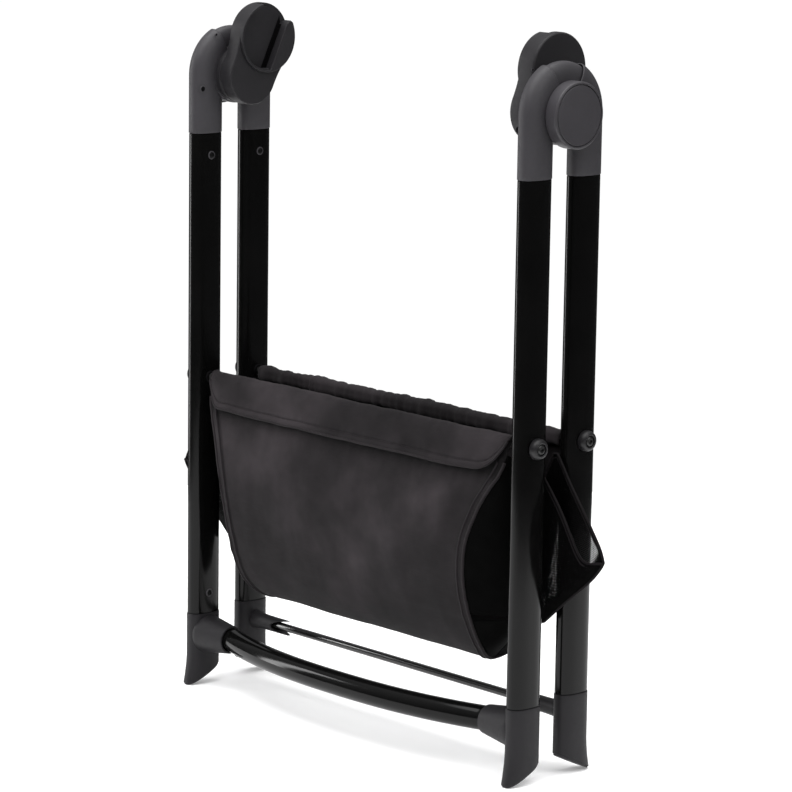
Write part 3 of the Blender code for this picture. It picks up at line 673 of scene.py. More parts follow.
# A near-black strip on the dish floor beside the fin, and a thin plate over the fin's side wall: painted shade where
# the fin shadows the dish.
fin_shade_shape = plate([(SEAT_CHORD + 0.2, -32.4), (CHORD_U + 0.4, -30.0), (CHORD_U + 0.4, 26.0), (SEAT_CHORD + 0.2, 33.0)], dish, X_FLOOR - 0.25, X_FLOOR + 0.5)
fin_shade_side = plate([(CHORD_U - 0.3, -31.0), (CHORD_U + 0.3, -31.0), (CHORD_U + 0.3, 23.4), (CHORD_U - 0.3, 23.4)], dish, X_FLOOR - 4.2, X_FLOOR + 0.3)
fin_shade_shape = join(fin_shade_shape, fin_shade_side)
two("adaptor_slot", fin_shade_shape, DARK_PLASTIC_AND_SHADE, "back_frame", replace=False)


# --------------------------------------------------------------------- feet
PAD_TOE = max(q for _, q in oval(PART_A - 1.0, PART_B - 1.0, 24)) * (1 + 5.0 / PART_B)


def foot_ring(a, b, t, grow, drop, count=96, spread=1.0):
    out = []
    for p, q in oval(a, b, count):
        v = q + 5.0 * t * t * max(0.0, q / PART_B)
        sole = (PAD_TOE - v) * math.tan(SOLE) + grow
        out.append((LEG_X + p * spread, LEG_Y + v, (1 - t) * drop + t * sole))
    return out


def foot(seam):
    rings = [level_ring(9.6, 18.6, seam + 34), level_ring(9.6, 18.6, seam - 0.2), level_ring(PART_A - 0.6, PART_B - 0.6, seam - 0.15),
             level_ring(PART_A - 0.15, PART_B - 0.15, seam - 0.4), level_ring(PART_A, PART_B, seam - 1.0)]
    for z in np.linspace(seam - 6, 44, 7):
        rings.append(level_ring(PART_A, PART_B, z))
    for k in range(1, 15):
        t = k / 14
        rings.append(foot_ring(PART_A, PART_B, t, 2.6, 42.0))
    rings.append(foot_ring(PART_A - 0.35, PART_B - 0.35, 1, 2.15, 0))
    rings.append(foot_ring(PART_A - 1.2, PART_B - 1.2, 1, 2.0, 0))
    return lay(rings)


def flare():
    """The front foot's collar for the bowed bar, spreading into the foot's side."""
    rings, n = [], 72
    for x, ry, rz in ((226.0, 13.9, 13.9), (214.6, 13.9, 13.9), (214.05, 14.4, 14.4), (214.0, 15.6, 15.6), (214.35, 16.1, 16.1), (216, 16.4, 16.4), (224, 17.3, 17.6),
                      (234, 18.4, 19.1), (244, 19.5, 20.7), (252, 20.3, 22.0), (256, 20.7, 22.8), (259, 20.8, 23.6), (262, 20.0, 24.0)):
        rings.append([(x, -LEG_Y + ry * c, BOW_Z + rz * s) for c, s in circle(1.0, n)])
    return lay(rings)


def claws():
    """The back foot's long socket, split at its mouth into an upper and a lower claw."""
    n, rings = 72, []

    def ring(r, x_of):
        out = []
        for c, s in circle(r, n):
            out.append((x_of(abs(s)), LEG_Y + c, CROSS_Z + s))
        return out

    def mouth(v):
        return max(195.0, 219.0 - 24.0 * min(v / 8.3, 1.0) ** 2.6)
    rings.append(ring(10.8, lambda v: 260.5))
    rings.append(ring(10.5, lambda v: 252.3))
    rings.append(ring(9.4, lambda v: 244.0))
    rings.append(ring(8.9, lambda v: 236.0))
    for k in range(1, 9):
        rings.append(ring(8.85 - 0.03 * k, lambda v, k=k: 236.0 + (mouth(v) + 0.5 - 236.0) * k / 8))
    rings.append(ring(8.35, lambda v: mouth(v)))
    rings.append(ring(6.6, lambda v: mouth(v) + 0.1))
    rings.append(ring(6.2, lambda v: mouth(v) + 0.9))
    rings.append(ring(6.2, lambda v: 236.0))
    return lay(rings)


front_foot = flip(foot(SEAM["front"]), 1)
two("foot_front", join(front_foot, flare()), FOOT_PLASTIC, "front_frame", angle=38)
two("foot_back", join(foot(SEAM["back"]), claws()), FOOT_PLASTIC, "back_frame", angle=38)


def pad():
    rings = [foot_ring(PART_A - 1.5, PART_B - 1.5, 1, 2.0, 0), foot_ring(PART_A - 0.9, PART_B - 0.9, 1, 1.9, 0), foot_ring(PART_A - 0.9, PART_B - 0.9, 1, 0.5, 0),
             foot_ring(PART_A - 1.3, PART_B - 1.3, 1, 0.1, 0), foot_ring(PART_A - 2.2, PART_B - 2.2, 1, 0.0, 0)]
    ribs = []
    for k in range(6):
        v = -13.5 + 5.6 * k
        z = (PAD_TOE - v) * math.tan(SOLE)
        dz, dv = 0.35 * math.cos(SOLE), 0.9
        ribs.append(lay([[(LEG_X + x, LEG_Y + v + p, z - p * math.tan(SOLE) + q) for p, q in ((-dv, 0.3), (dv, 0.3), (dv, -0.02), (-dv, -0.02))] for x in (-7.5, 7.5)]))
    return join(lay(rings), *ribs)


two("sole_pad_front", flip(pad(), 1), RUBBER, "front_frame")
two("sole_pad_back", pad(), RUBBER, "back_frame")


# --------------------------------------------------------------- cross bars
def bow(x):
    return BOW_Y + BOW_DEPTH * min(abs(x) / 209.0, 1.0) ** 2.4


xs = sorted(set([-239.5, -225, -214, -209] + list(np.linspace(-205, 205, 83)) + [209, 214, 225, 239.5]))
bar = []
for x in xs:
    slope = (bow(x + 3) - bow(x - 3)) / 6
    k = math.hypot(1, slope)
    tx, ty = 1 / k, slope / k
    bar.append([(x - ty * p, bow(x) + tx * p, BOW_Z + q) for p, q in circle(BAR_R, 64)])
piece("v_front_bow_bar", lay(bar), BAR_PAINT, "front_frame", ("front_bow_bar",))
piece("v_back_cross_bar", spun([(-236, 0), (-236, CROSS_R), (236, CROSS_R), (236, 0)], LEG_Y, CROSS_Z, 48, [0, 0.6, 0.6, 0]), CROSS_PAINT, "back_frame", ("back_cross_bar",))


# --------------------------------------------------- rods, knobs and screws
def hexed(r, count=48, turn=0.0):
    out = []
    for i in range(count):
        t = 2 * math.pi * i / count + turn
        k = math.cos(math.pi / 6) / math.cos(((t - turn + math.pi / 6) % (math.pi / 3)) - math.pi / 6)
        out.append((r * k * math.cos(t), r * k * math.sin(t)))
    return out


def socket_screw(x, out, y, z, r, high, key, deep, shank, turn=0.2):
    """A button-head screw with a hexagon socket, its head's seat at x and facing out (+1 or -1) along X."""
    rings = []
    for dx, rr in ((-shank, r * 0.42), (0.0, r * 0.42), (0.0, r * 0.97), (high * 0.25, r), (high * 0.6, r * 0.93), (high * 0.88, r * 0.78), (high, r * 0.62)):
        rings.append([(x + out * dx, y + a, z + b) for a, b in circle(rr, 48)])
    for dx, rr in ((high, key * 1.12), (high - 0.12, key), (high - deep, key * 0.98)):
        rings.append([(x + out * dx, y + a, z + b) for a, b in hexed(rr, 48, turn)])
    rings.append([(x + out * (high - deep - 0.4), y + a, z + b) for a, b in circle(key * 0.2, 48)])
    return lay(rings)


FACE = LEG_X + 20.2
for where, y in (("front", -LEG_Y), ("back", LEG_Y)):
    body = f"{where}_frame"
    piece(f"v_basket_rod_{where}", spun([(-275.7, 0), (-275.7, 4.0), (275.7, 4.0), (275.7, 0)], y, ROD_Z, 40, [0, 0.5, 0.5, 0]), ROD_STEEL, body, (f"basket_rod_{where}",))
    knob = [(LEG_X + TUBE_A + 0.1, 3.0), (LEG_X + TUBE_A + 0.1, 11.0), (LEG_X + TUBE_A + 1.1, 11.35), (FACE - 3.6, 11.1), (FACE - 1.3, 9.9), (FACE - 0.6, 8.6), (FACE - 0.2, 7.6),
            (FACE - 0.4, 6.5), (FACE - 2.6, 6.2), (FACE - 2.6, 3.0)]
    two(f"rod_knob_{where}", spun(knob, y, ROD_Z, 72, [0, 0.3, 0.5, 0.8, 0.5, 0.3, 0.3, 0.3, 0, 0]), KNOB_PLASTIC, body, angle=34)
    two(f"rod_bolt_{where}", socket_screw(FACE - 2.4, 1, y, ROD_Z, 5.4, 2.5, 2.5, 1.7, 20.0), STEEL, body, angle=34)
    # a bush where the rod passes each tube's inner wall
    two(f"rod_bush_{where}", spun([(LEG_X - TUBE_A - 2.2, 4.2), (LEG_X - TUBE_A - 2.2, 6.4), (LEG_X - TUBE_A - 0.2, 7.0), (LEG_X - TUBE_A + 0.6, 7.0), (LEG_X - TUBE_A + 0.6, 4.2)],
                                  y, ROD_Z, 40, 0.3), DARK_PLASTIC_AND_SHADE, body, replace=False)

for where, y, level, z in (("front", -LEG_Y, "top", TOP_SEAM - 25), ("front", -LEG_Y, "low", SEAM["front"] + 24), ("back", LEG_Y, "top", TOP_SEAM - 25)):
    x = LEG_X - TUBE_A - 0.1
    two(f"tube_screw_{where}_{level}", socket_screw(x + 0.1, -1, y, z, 3.2, 1.7, 1.5, 1.2, 4.0), SCREW_STEEL, f"{where}_frame", angle=34)
    two(f"screw_cup_{where}_{level}", spun([(x - 0.7, 3.6), (x - 0.7, 4.4), (x + 0.3, 4.9), (x + 0.3, 3.6)], y, z, 40, 0.15), PLASTIC, f"{where}_frame", replace=False)


# -------------------------------------------------------------- soft goods
def rnd(x, y, z=0.0):
    return noise.noise(Vector((x, y, z)))


def cloth(name, grid, mat, thick, closed_u=False, solid=None, deep=None):
    """A sheet from a grid (rows, columns, 3) of millimetres, with flat coordinates in metres and a thickness."""
    g = np.array(grid, float)
    rows, cols = g.shape[:2]
    du = np.linalg.norm(np.diff(g, axis=1), axis=2)
    dv = np.linalg.norm(np.diff(g, axis=0), axis=2)
    u = np.concatenate([np.zeros((rows, 1)), np.cumsum(du, axis=1)], axis=1)
    u -= u[:, cols // 2][:, None]
    v = np.concatenate([np.zeros((1, cols)), np.cumsum(dv, axis=0)], axis=0)
    me = bpy.data.meshes.new(name)
    faces = [(r * cols + c, r * cols + c + 1, (r + 1) * cols + c + 1, (r + 1) * cols + c) for r in range(rows - 1) for c in range(cols - 1)]
    me.from_pydata([P(*p) for p in g.reshape(-1, 3)], [], faces)
    uv = me.uv_layers.new(name="UVMap")
    idx = np.zeros(len(me.loops), np.int32)
    me.loops.foreach_get("vertex_index", idx)
    flat = np.stack([u.reshape(-1)[idx] * MM, v.reshape(-1)[idx] * MM], 1)
    uv.data.foreach_set("uv", flat.astype(np.float32).ravel())
    if solid is not None:
        at = me.attributes.new("solid", "FLOAT", "POINT")
        at.data.foreach_set("value", np.array(solid, np.float32).reshape(-1))
    # deep carries each point's painted shade, which the weave darkens its colour by.
    if deep is not None:
        at = me.attributes.new("deep", "FLOAT", "POINT")
        at.data.foreach_set("value", np.array(deep, np.float32).reshape(-1))
    me.materials.append(mat)
    obj = bpy.data.objects.new(name, me)
    bpy.context.scene.collection.objects.link(obj)
    if thick:
        s = obj.modifiers.new("thickness", "SOLIDIFY")
        s.thickness = thick * MM
        s.offset = 0
        s.use_rim = True
        bpy.context.view_layer.update()
        got = bpy.data.meshes.new_from_object(obj.evaluated_get(bpy.context.evaluated_depsgraph_get()))
        obj.modifiers.clear()
        obj.data = got
    obj.data.shade_smooth()
    a = np.linalg.norm(np.cross(g[1:, :-1] - g[:-1, :-1], g[:-1, 1:] - g[:-1, :-1]), axis=2).sum() * MM * MM
    return obj, float(u.max() - u.min()) * MM, float(v.max()) * MM, float(a)


def normals(g):
    du = np.gradient(g, axis=1)
    dv = np.gradient(g, axis=0)
    n = np.cross(du, dv)
    return n / (np.linalg.norm(n, axis=2)[:, :, None] + 1e-12)


SLEEVE = 5.4
WALL = [(45.0, 348, 241.5), (49.5, 331, 235.5), (58.5, 300, 218), (63.6, 272, 207.5), (65.0, 248, 201), (61.5, 218, 196.5), (55.5, 192, 195), (50.5, 174, 195.5)]
FLOOR = [(-47.5, 166.5, 195.5), (-40, 149.5, 196), (-29, 132.5, 194.5), (-15.5, 120, 189), (0, 115.5, 184), (15.5, 120, 189), (29, 132.5, 194.5), (40, 149.5, 196), (47.5, 166.5, 195.5)]


def profile_front(with_floor):
    pts = []
    for deg in range(-62, 156, 14):
        t = math.radians(deg)
        pts.append((-LEG_Y + SLEEVE * math.cos(t), ROD_Z + SLEEVE * math.sin(t), 245.5))
    pts += [(-y, z, h) for y, z, h in WALL]
    if with_floor:
        pts += FLOOR
    return pts


def wall_grid(profile, rows, cols, wrinkle, edge_pow=1.0):
    line = curve_through(profile, rows)
    g = np.zeros((rows, cols, 3))
    for r, (y, z, h) in enumerate(line):
        for c in range(cols):
            s = -1 + 2 * c / (cols - 1)
            g[r, c] = (h * s, y, z)
    n = normals(g)
    for r in range(rows):
        for c in range(cols):
            g[r, c] += n[r, c] * wrinkle(g[r, c], -1 + 2 * c / (cols - 1), r / (rows - 1))
    return g


COLS = 161
seam_in = 7.5


def front_wrinkle(p, s, t):
    x, y, z = p
    edge = (1 - abs(s)) * 220.0                              # distance from the bound edge
    out = 0.0
    if z < 352:
        hang = min(1.0, (352 - z) / 60.0) * (0.35 + 0.65 * min(1.0, max(0.0, (z - 122) / 60.0)))
        out += hang * 2.6 * noise.fractal(Vector((x / 95.0, z / 150.0, 3.1)), 1.0, 2.0, 3)      # slow waves in the cloth
        out += 0.35 * hang * noise.fractal(Vector((x / 26.0, z / 45.0, 7.7)), 0.8, 2.0, 3)
        near = math.exp(-((z - 328) / 26.0) ** 2)
        out += near * 0.7 * rnd(x / 11.0, z / 55.0, 1.3)                                        # drag lines from the flap's seam
        side = math.exp(-edge / 24.0)
        out += side * 0.55 * rnd(z / 9.0, edge / 30.0, 5.0)                                      # puckers at the binding
        out -= 0.9 * math.exp(-((edge - seam_in) / 1.7) ** 2)                                    # sewn channel beside the edge
    return -out if z > 352 else out


front_grid = wall_grid(profile_front(True), 190, COLS, front_wrinkle)
# Painted shade for each point: darker under the flap, beside the binding and towards the floor, and a flat 0.6 over the
# floor's back half.
front_painted_shade = np.zeros(front_grid.shape[:2])
for r in range(front_grid.shape[0]):
    for c in range(COLS):
        x, y, z = front_grid[r, c]
        under = 0.85 * math.exp(-(max(0.0, 333 - z) / 9.0) ** 1.5) if z < 350 else 0.85
        low = 0.35 * min(1.0, max(0.0, (205 - z) / 70.0))
        edge_d = (1 - abs(-1 + 2 * c / (COLS - 1))) * 200.0
        binding_shade = 0.45 * math.exp(-((edge_d - 9.5) / 2.2) ** 2)
        front_painted_shade[r, c] = min(1.0, under + low + binding_shade) if y < 0 else 0.6
front_cloth, fw, fl, fa = cloth("v_basket_front_and_floor", front_grid, CLOTH, 1.1, deep=front_painted_shade)
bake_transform(front_cloth)
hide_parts("basket_front_panel", "basket_bottom_panel")


def back_wrinkle(p, s, t):
    x, y, z = p
    gather = math.exp(-((z - 362) / 16.0) ** 2)
    out = gather * (2.3 * rnd(x / 10.0, 0.3 * z / 20.0, 11.0) + 1.3 * rnd(x / 5.0, z / 40.0, 4.0))
    below = math.exp(-((z - 338) / 34.0) ** 2)
    out += below * 1.6 * rnd(x / 13.0, z / 120.0, 2.0)
    out += 1.3 * noise.fractal(Vector((x / 80.0, z / 120.0, 9.1)), 1.0, 2.0, 3)
    return out


back_profile = [(40.5, 360.0, 246), (36.0, 355.2, 246.5), (30.8, 355.2, 247), (28.0, 359.5, 247)]
for deg in range(-10, 156, 15):
    t = math.radians(deg)
    back_profile.append((LEG_Y - 7.6 * math.cos(t), ROD_Z + 6.4 * math.sin(t), 247))
back_profile += [(y, z, h) for y, z, h in WALL] + [(48.2, 167.5, 195.5)]
back_grid = wall_grid(back_profile, 120, COLS, back_wrinkle)
# Painted shade on the back wall: a little all over, and strong along its first rows round the top roll.
back_painted_shade = np.clip(0.15 + 0.75 * (np.abs(np.arange(120)[:, None] - 2) < 5) + np.zeros((120, COLS)), 0, 1)
back_cloth, bw, bl, ba = cloth("v_basket_back_wall", back_grid, CLOTH, 1.1, deep=back_painted_shade)
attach(back_cloth, "basket_back")
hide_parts("basket_back_panel")


# The turned-down flap over the front rod, with a hem along its lower edge and rounded, gathered ends.
def flap_grid(rows=56, cols=201):
    line = [(30.0, 363.5), (32.2, 369.0), (36.8, 372.2), (42.0, 371.6), (45.8, 367.0), (48.0, 359.5), (50.6, 349.0), (53.6, 341.5), (56.8, 335.5)]
    prof = curve_through(line, rows)
    g = np.zeros((rows, cols, 3))
    for r, (yy, z) in enumerate(prof):
        t = r / (rows - 1)
        for c in range(cols):
            s = -1 + 2 * c / (cols - 1)
            half = 243.0 - 9.0 * max(0.0, 1 - t / 0.34) ** 2
            a = abs(s)
            # the lower corners are rounded off, and the hem dips a little in the middle
            round_off = max(0.0, (a - (0.83 if s > 0 else 0.89)) / (0.17 if s > 0 else 0.11))
            drop = 1.0 - (0.62 if s > 0 else 0.5) * round_off ** 2.3
            tt = t * drop
            k = tt * (rows - 1)
            i = min(int(k), rows - 2)
            f = k - i
            y0, z0 = prof[i] * (1 - f) + prof[i + 1] * f
            sag = 1.6 * (1 - s * s) * t ** 2
            wave = 0.9 * rnd(half * s / 26.0, 4.4) * (1 - t) + 1.5 * rnd(half * s / 38.0, 9.4) * t
            g[r, c] = (half * s + 2.0, -y0, z0 - sag + wave)
    n = normals(g)
    for r in range(rows):
        t = r / (rows - 1)
        for c in range(cols):
            s = -1 + 2 * c / (cols - 1)
            x = g[r, c, 0]
            puff = 1.5 * math.sin(math.pi * min(1.0, t * 1.05)) ** 0.8
            out = puff + 1.1 * rnd(x / 30.0, t * 2.2, 6.0) * (0.35 + t) + 0.5 * rnd(x / 9.0, t * 2.0, 8.0) * math.exp(-((t - 0.3) / 0.18) ** 2)
            out += 0.55 * rnd(x / 7.0, t * 5, 2.0) * math.exp(-((t - 0.84) / 0.09) ** 2)
            out -= 0.85 * math.exp(-((t - 0.872) / 0.022) ** 2)          # the hem's seam
            out += 0.75 * math.exp(-((t - 0.945) / 0.045) ** 2)          # the rolled hem
            end = (1 - abs(s)) * 245
            out += 0.8 * math.exp(-end / 10.0) * rnd(t * 14.0, end / 12.0, 3.0)
            out -= 0.6 * math.exp(-((end - 5.0) / 1.4) ** 2)
            g[r, c] -= n[r, c] * out * (1 if n[r, c, 1] * -1 < 0 or n[r, c, 2] < 0 else -1)
    return g


fgrid = flap_grid()
flap, pw, pl, pa = cloth("v_basket_front_flap", fgrid, CLOTH, 1.3)
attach(flap, "basket_front")
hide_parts("basket_front_flap")


def offset_path(g, r=None, c=None, lift=0.6, side=1):
    n = normals(g)
    line = g[r, :] if r is not None else g[:, c]
    nn = n[r, :] if r is not None else n[:, c]
    return line + nn * lift * side, nn * side


def outward(g, nn_side_test):
    """+1 or -1, whichever makes the grid's normal point to the front (-y)."""
    n = normals(g)
    return -1.0 if n[g.shape[0] // 2, g.shape[1] // 2, 1] > 0 else 1.0


def soft_trim(name, shape, mat, body, blend=None):
    obj = make(name, shape, mat, 60)
    if blend:
        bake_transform(obj)
    else:
        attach(obj, body)
    return obj


side = outward(fgrid, None)
row_hem = int(round(0.872 * 55))
path, lift = offset_path(fgrid, r=row_hem, lift=1.05, side=side)
soft_trim("v_flap_hem_stitches", stitches(path[3:-3], lift[3:-3]), THREAD, "basket_front")
edge = fgrid[-1] + normals(fgrid)[-1] * 0.3 * side
soft_trim("v_flap_hem_cord", sweep(edge[::2], 1.35, 10), CLOTH, "basket_front")
for k, s in ((0, "left"), (-1, "right")):
    soft_trim(f"v_flap_end_cord_{s}", sweep(fgrid[::2, k], 1.25, 10), CLOTH, "basket_front")

# Binding along both side edges of the front wall and floor, with its sewn line.
fside = outward(front_grid, None)
first = 22
BLEND = ("basket_front", "basket_bottom", P(0, -53.0, 180.0), P(0, -44.5, 158.0))
for k, s in ((0, "left"), (-1, "right")):
    sg = -1 if s == "left" else 1
    path = front_grid[first:, k] + np.array((sg * 0.5, 0, 0))
    soft_trim(f"v_front_edge_cord_{s}", sweep(path, 1.75, 12), TRIM, None, blend=BLEND)
    inner_c = 3 if k == 0 else COLS - 4
    line = front_grid[first:, inner_c] + normals(front_grid)[first:, inner_c] * 0.35 * fside
    soft_trim(f"v_front_seam_cord_{s}", sweep(line, 1.15, 10), CLOTH, None, blend=BLEND)
    bpath = back_grid[18:, k] + np.array((sg * 0.5, 0, 0))
    soft_trim(f"v_back_edge_cord_{s}", sweep(bpath, 1.75, 12), TRIM, "basket_back")
low_edge = back_grid[-1] + np.array((0, 0.4, -0.6))
soft_trim("v_back_low_cord", sweep(low_edge[::2], 1.7, 10), TRIM, "basket_back")


# Net ends: from each wall's edge inwards to a fold, then out between the legs to a ridge.
def net_half(edge_line, rim, ridge, n_ret=14, n_flap=26, n_v=44):
    """edge_line, the wall's edge from the top down; rim, the free top edge from the fold to the tip; ridge, from the tip down."""
    high, low = np.array((248.6, -10.0, 333.0)), np.array((236.0, -14.0, 172.0))
    e = curve_through(edge_line, n_v)
    fold = np.linspace(high, low, n_v)
    ridge_pts = curve_through(ridge, n_v)
    rim_pts = curve_through(rim, n_flap)
    g = np.zeros((n_v, n_ret + n_flap, 3))
    solid = np.zeros((n_v, n_ret + n_flap))
    for j in range(n_v):
        v = j / (n_v - 1)
        for i in range(n_ret):
            u = i / n_ret
            belly = math.sin(math.pi * u) * math.sin(math.pi * min(1, v * 1.1 + 0.05))
            g[j, i] = e[j] * (1 - u) + fold[j] * u + np.array((3.5 * belly, -2.5 * belly, 0))
        for i in range(n_flap):
            u = i / (n_flap - 1)
            straight = fold[0] * (1 - u) + ridge_pts[0] * u
            p = fold[j] * (1 - u) + ridge_pts[j] * u + (rim_pts[i] - straight) * (1 - v) ** 1.6
            belly = math.sin(math.pi * u) * math.sin(math.pi * v)
            g[j, n_ret + i] = p + np.array((0, -2.6 * belly, 0)) + np.array((0, 0.9 * rnd(u * 6.0, v * 5.0, 2.0) * belly, 0))
    for j in range(n_v):
        v = j / (n_v - 1)
        for i in range(n_ret + n_flap):
            if i >= n_ret:
                u = (i - n_ret) / (n_flap - 1)
                d_rim = np.linalg.norm(g[j, i] - g[0, i])
                d_ridge = np.linalg.norm(g[j, i] - g[j, -1])
            else:
                d_rim, d_ridge = np.linalg.norm(g[j, i] - g[0, i]), 99.0
            solid[j, i] = 1.0 if (d_rim < 5.0 or d_ridge < 14.0 or i < n_ret + 8) else 0.0
    return g, solid


EDGE_R = [(h, -y, z) for y, z, h in [(44.5, 354, 244.0)] + WALL]
RIM_F = [(248.6, -10.0, 333.0), (258, -9.0, 332.5), (272, -8.0, 317), (287, -6.5, 296), (300, -5.0, 273), (309, -4.0, 257), (320, -2.6, 246.5), (344, -0.9, 249)]
RIDGE_F = [(344, -0.9, 249), (339.0, -0.9, 241.0), (324, -0.9, 225), (290, -0.9, 197), (257, -0.9, 168)]
RIM_B = [(248.6, -10.0, 333.0), (258, -12.5, 352), (270, -10.5, 342.0), (284, -8.0, 325.5), (304, -5.5, 303), (322, -3.6, 282), (338, -1.8, 262), (344, -0.9, 249)]
for where in ("front", "back"):
    g0, solid = net_half(EDGE_R, RIM_F if where == "front" else RIM_B, RIDGE_F)
    for s in ("right", "left"):
        g = g0.copy()
        if where == "back":
            g[:, :, 1] *= -1
        if s == "left":
            g[:, :, 0] *= -1
        net, nw, nl, na = cloth(f"v_net_{where}_{s}", g, NET, 0.5, solid=solid)
        sx, sy = (1 if s == "right" else -1), (1 if where == "front" else -1)
        a = P(sx * 238.0, -sy * 15.5, 250)
        b = P(sx * 247.0, -sy * 10.5, 250)
        bodies = (f"basket_{where}", f"net_{where}_{s}", a, b)
        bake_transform(net)
        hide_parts(f"net_return_{where}_{s}", f"net_flap_{where}_{s}")
        soft_trim(f"v_net_rim_{where}_{s}", sweep(g[0, 2:], 1.35, 10), NET_TRIM, None, bodies)
        inner_rim = np.array([g[0, i] + (g[3, i] - g[0, i]) / max(1e-6, np.linalg.norm(g[3, i] - g[0, i])) * 4.6 for i in range(4, g.shape[1] - 4)])
        soft_trim(f"v_net_rim_seam_{where}_{s}", sweep(inner_rim, 0.85, 8), NET_TRIM, None, bodies)
        ridge = g[:, -1]
        soft_trim(f"v_net_ridge_{where}_{s}", sweep(ridge[::2], 1.0, 8), NET_TRIM, None, bodies)


# Small net gores close the basket's lower corners, from the floor's end up to the net's fold.
def gore(sy, sx):
    """Half a gore: from the floor's end edge on one side out to the net's low corner."""
    edge = curve_through([(h, y, z) for y, z, h in FLOOR[:5]], 16)
    g = np.zeros((16, 10, 3))
    for j in range(16):
        v = j / 15
        top = np.array((236.0, -14.0 * (1 - v), 171.0 - 1.5 * v))
        for i in range(10):
            u = i / 9
            sag = 3.0 * math.sin(math.pi * u) * math.sin(math.pi * min(1.0, v + 0.1))
            q = edge[j] * (1 - u) + top * u + np.array((0, 0, -sag))
            g[j, i] = (sx * q[0], sy * q[1], q[2])
    return g


for where, sy in (("front", 1), ("back", -1)):
    for s, sx in (("right", 1), ("left", -1)):
        g = gore(sy, sx)
        gn, gw, gl, ga = cloth(f"v_net_gore_{where}_{s}", g, NET, 0.5, solid=np.ones(g.shape[:2]))
        if where == "front":
            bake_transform(gn)
        else:
            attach(gn, "basket_bottom")


# -------------------------------------------------------------- the springs
def coil(x0, x1, radius, turns, per_turn=40):
    """A compression spring along X with closed end turns."""
    n = int(turns * per_turn)
    path = []
    for i in range(n + 1):
        t = 2 * math.pi * i / per_turn
        k = min(max((i / per_turn - 0.4) / (turns - 0.8), 0.0), 1.0)
        path.append((x0 + (x1 - x0) * k, radius * math.cos(t), HUB_Z + radius * math.sin(t)))
    return sweep(path, 0.6, 10, up=(1.0, 0.0, 0.0))


for s, sg in (("right", 1), ("left", -1)):
    shape = coil(280.9, 290.2, 11.6, 3.0)
    o = piece(f"v_button_spring_{s}", shape if sg > 0 else flip(shape), STEEL, "front_frame", (f"button_spring_{s}",))
    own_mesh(o)


# ------------------------------------------------------- studio and camera
def stage_floor():
    bm = bmesh.new()
    n = 96
    centre = bm.verts.new((0, 0, 0))
    rim_ = [bm.verts.new((1.3 * math.cos(2 * math.pi * i / n), 1.3 * math.sin(2 * math.pi * i / n), 0)) for i in range(n)]
    for i in range(n):
        bm.faces.new((centre, rim_[i], rim_[(i + 1) % n]))
    me = bpy.data.meshes.new("studio_floor")
    bm.to_mesh(me)
    bm.free()
    mat_, t, b = new_mat("studio_paper")
    tc = node(t, "ShaderNodeTexCoord")
    f = noise_tex(t, tc.outputs["Object"], 6.0, 3.0)
    c = ramp(t, f.outputs["Fac"], [(0.3, (0.90, 0.90, 0.90)), (0.7, (0.92, 0.92, 0.92))])
    t.links.new(c.outputs["Color"], b.inputs["Base Color"])
    b.inputs["Roughness"].default_value = 0.9
    b.inputs["Specular IOR Level"].default_value = 0.1
    b.inputs["Emission Color"].default_value = (1, 1, 1, 1)
    b.inputs["Emission Strength"].default_value = 0.2
    me.materials.append(mat_)
    o = bpy.data.objects.new("studio_floor", me)
    bpy.context.scene.collection.objects.link(o)


stage_floor()

w = bpy.data.worlds.new("studio")
bpy.context.scene.world = w
w.use_nodes = True
t = w.node_tree
t.nodes.clear()
outn = t.nodes.new("ShaderNodeOutputWorld")
mix = t.nodes.new("ShaderNodeMixShader")
lp = t.nodes.new("ShaderNodeLightPath")
white = t.nodes.new("ShaderNodeBackground")
white.inputs["Color"].default_value = (1, 1, 1, 1)
white.inputs["Strength"].default_value = 1.02
room = t.nodes.new("ShaderNodeBackground")
tc = t.nodes.new("ShaderNodeTexCoord")
sep = t.nodes.new("ShaderNodeSeparateXYZ")
t.links.new(tc.outputs["Generated"], sep.inputs["Vector"])
rr = t.nodes.new("ShaderNodeValToRGB")
els = rr.color_ramp.elements
els[0].position, els[0].color = 0.0, (0.07, 0.07, 0.072, 1)
els[1].position, els[1].color = 1.0, (0.75, 0.75, 0.76, 1)
e = els.new(0.5); e.color = (0.09, 0.09, 0.092, 1)
e = els.new(0.62); e.color = (0.22, 0.22, 0.225, 1)
mr = t.nodes.new("ShaderNodeMapRange")
mr.inputs["From Min"].default_value = -1
t.links.new(sep.outputs["Z"], mr.inputs["Value"])
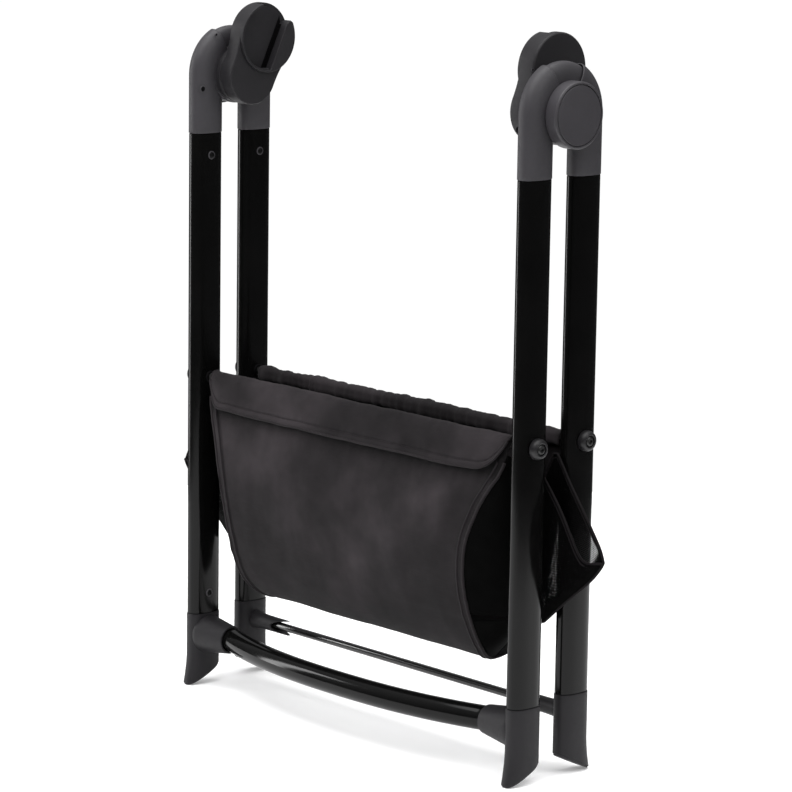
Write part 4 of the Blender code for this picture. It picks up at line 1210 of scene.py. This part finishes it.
t.links.new(mr.outputs["Result"], rr.inputs["Fac"])
t.links.new(rr.outputs["Color"], room.inputs["Color"])
t.links.new(lp.outputs["Is Camera Ray"], mix.inputs["Fac"])
t.links.new(room.outputs["Background"], mix.inputs[1])
t.links.new(white.outputs["Background"], mix.inputs[2])
t.links.new(mix.outputs["Shader"], outn.inputs["Surface"])


def sun(name, direction, strength, angle):
    d = bpy.data.lights.new(name, "SUN")
    d.energy = strength
    d.angle = math.radians(angle)
    o = bpy.data.objects.new(name, d)
    o.rotation_euler = Vector(direction).to_track_quat("-Z", "Y").to_euler()
    bpy.context.scene.collection.objects.link(o)


def softbox(name, at, aim, size, size_y, power):
    d = bpy.data.lights.new(name, "AREA")
    d.shape = "RECTANGLE"
    d.size, d.size_y = size, size_y
    d.energy = power
    o = bpy.data.objects.new(name, d)
    o.location = at
    o.rotation_euler = (Vector(aim) - Vector(at)).to_track_quat("-Z", "Y").to_euler()
    o.visible_camera = False
    o.visible_glossy = name != "key"
    bpy.context.scene.collection.objects.link(o)


sun("overhead", (-0.12, 0.18, -1.0), 3.1, 70)
softbox("key", (0.4, -3.0, 2.4), (0, 0, 0.4), 1.6, 1.6, 60)
softbox("side", (3.2, 0.9, 2.2), (0.2, 0, 0.5), 1.2, 1.6, 26)
softbox("left_strip", (-2.9, -1.7, 0.9), (0, 0, 0.45), 0.5, 2.6, 40)

cam = bpy.data.cameras.new("camera")
cam.sensor_width = 36.0
cam.lens = 3486.293 / 792 * 36.0
cam.clip_end = 50
co = bpy.data.objects.new("camera", cam)
fwd = Vector((-0.722866, 0.665934, -0.184381)).normalized()
right = Vector((0.675420, 0.737283, 0.014881)).normalized()
up = right.cross(fwd).normalized()
right = fwd.cross(up).normalized()
rot = Matrix((right, up, -fwd)).transposed().to_4x4()
co.matrix_world = Matrix.Translation(Vector((2.79468, -2.54809, 1.08623))) @ rot
bpy.context.scene.collection.objects.link(co)
bpy.context.scene.camera = co
bpy.context.scene.view_settings.view_transform = "Standard"
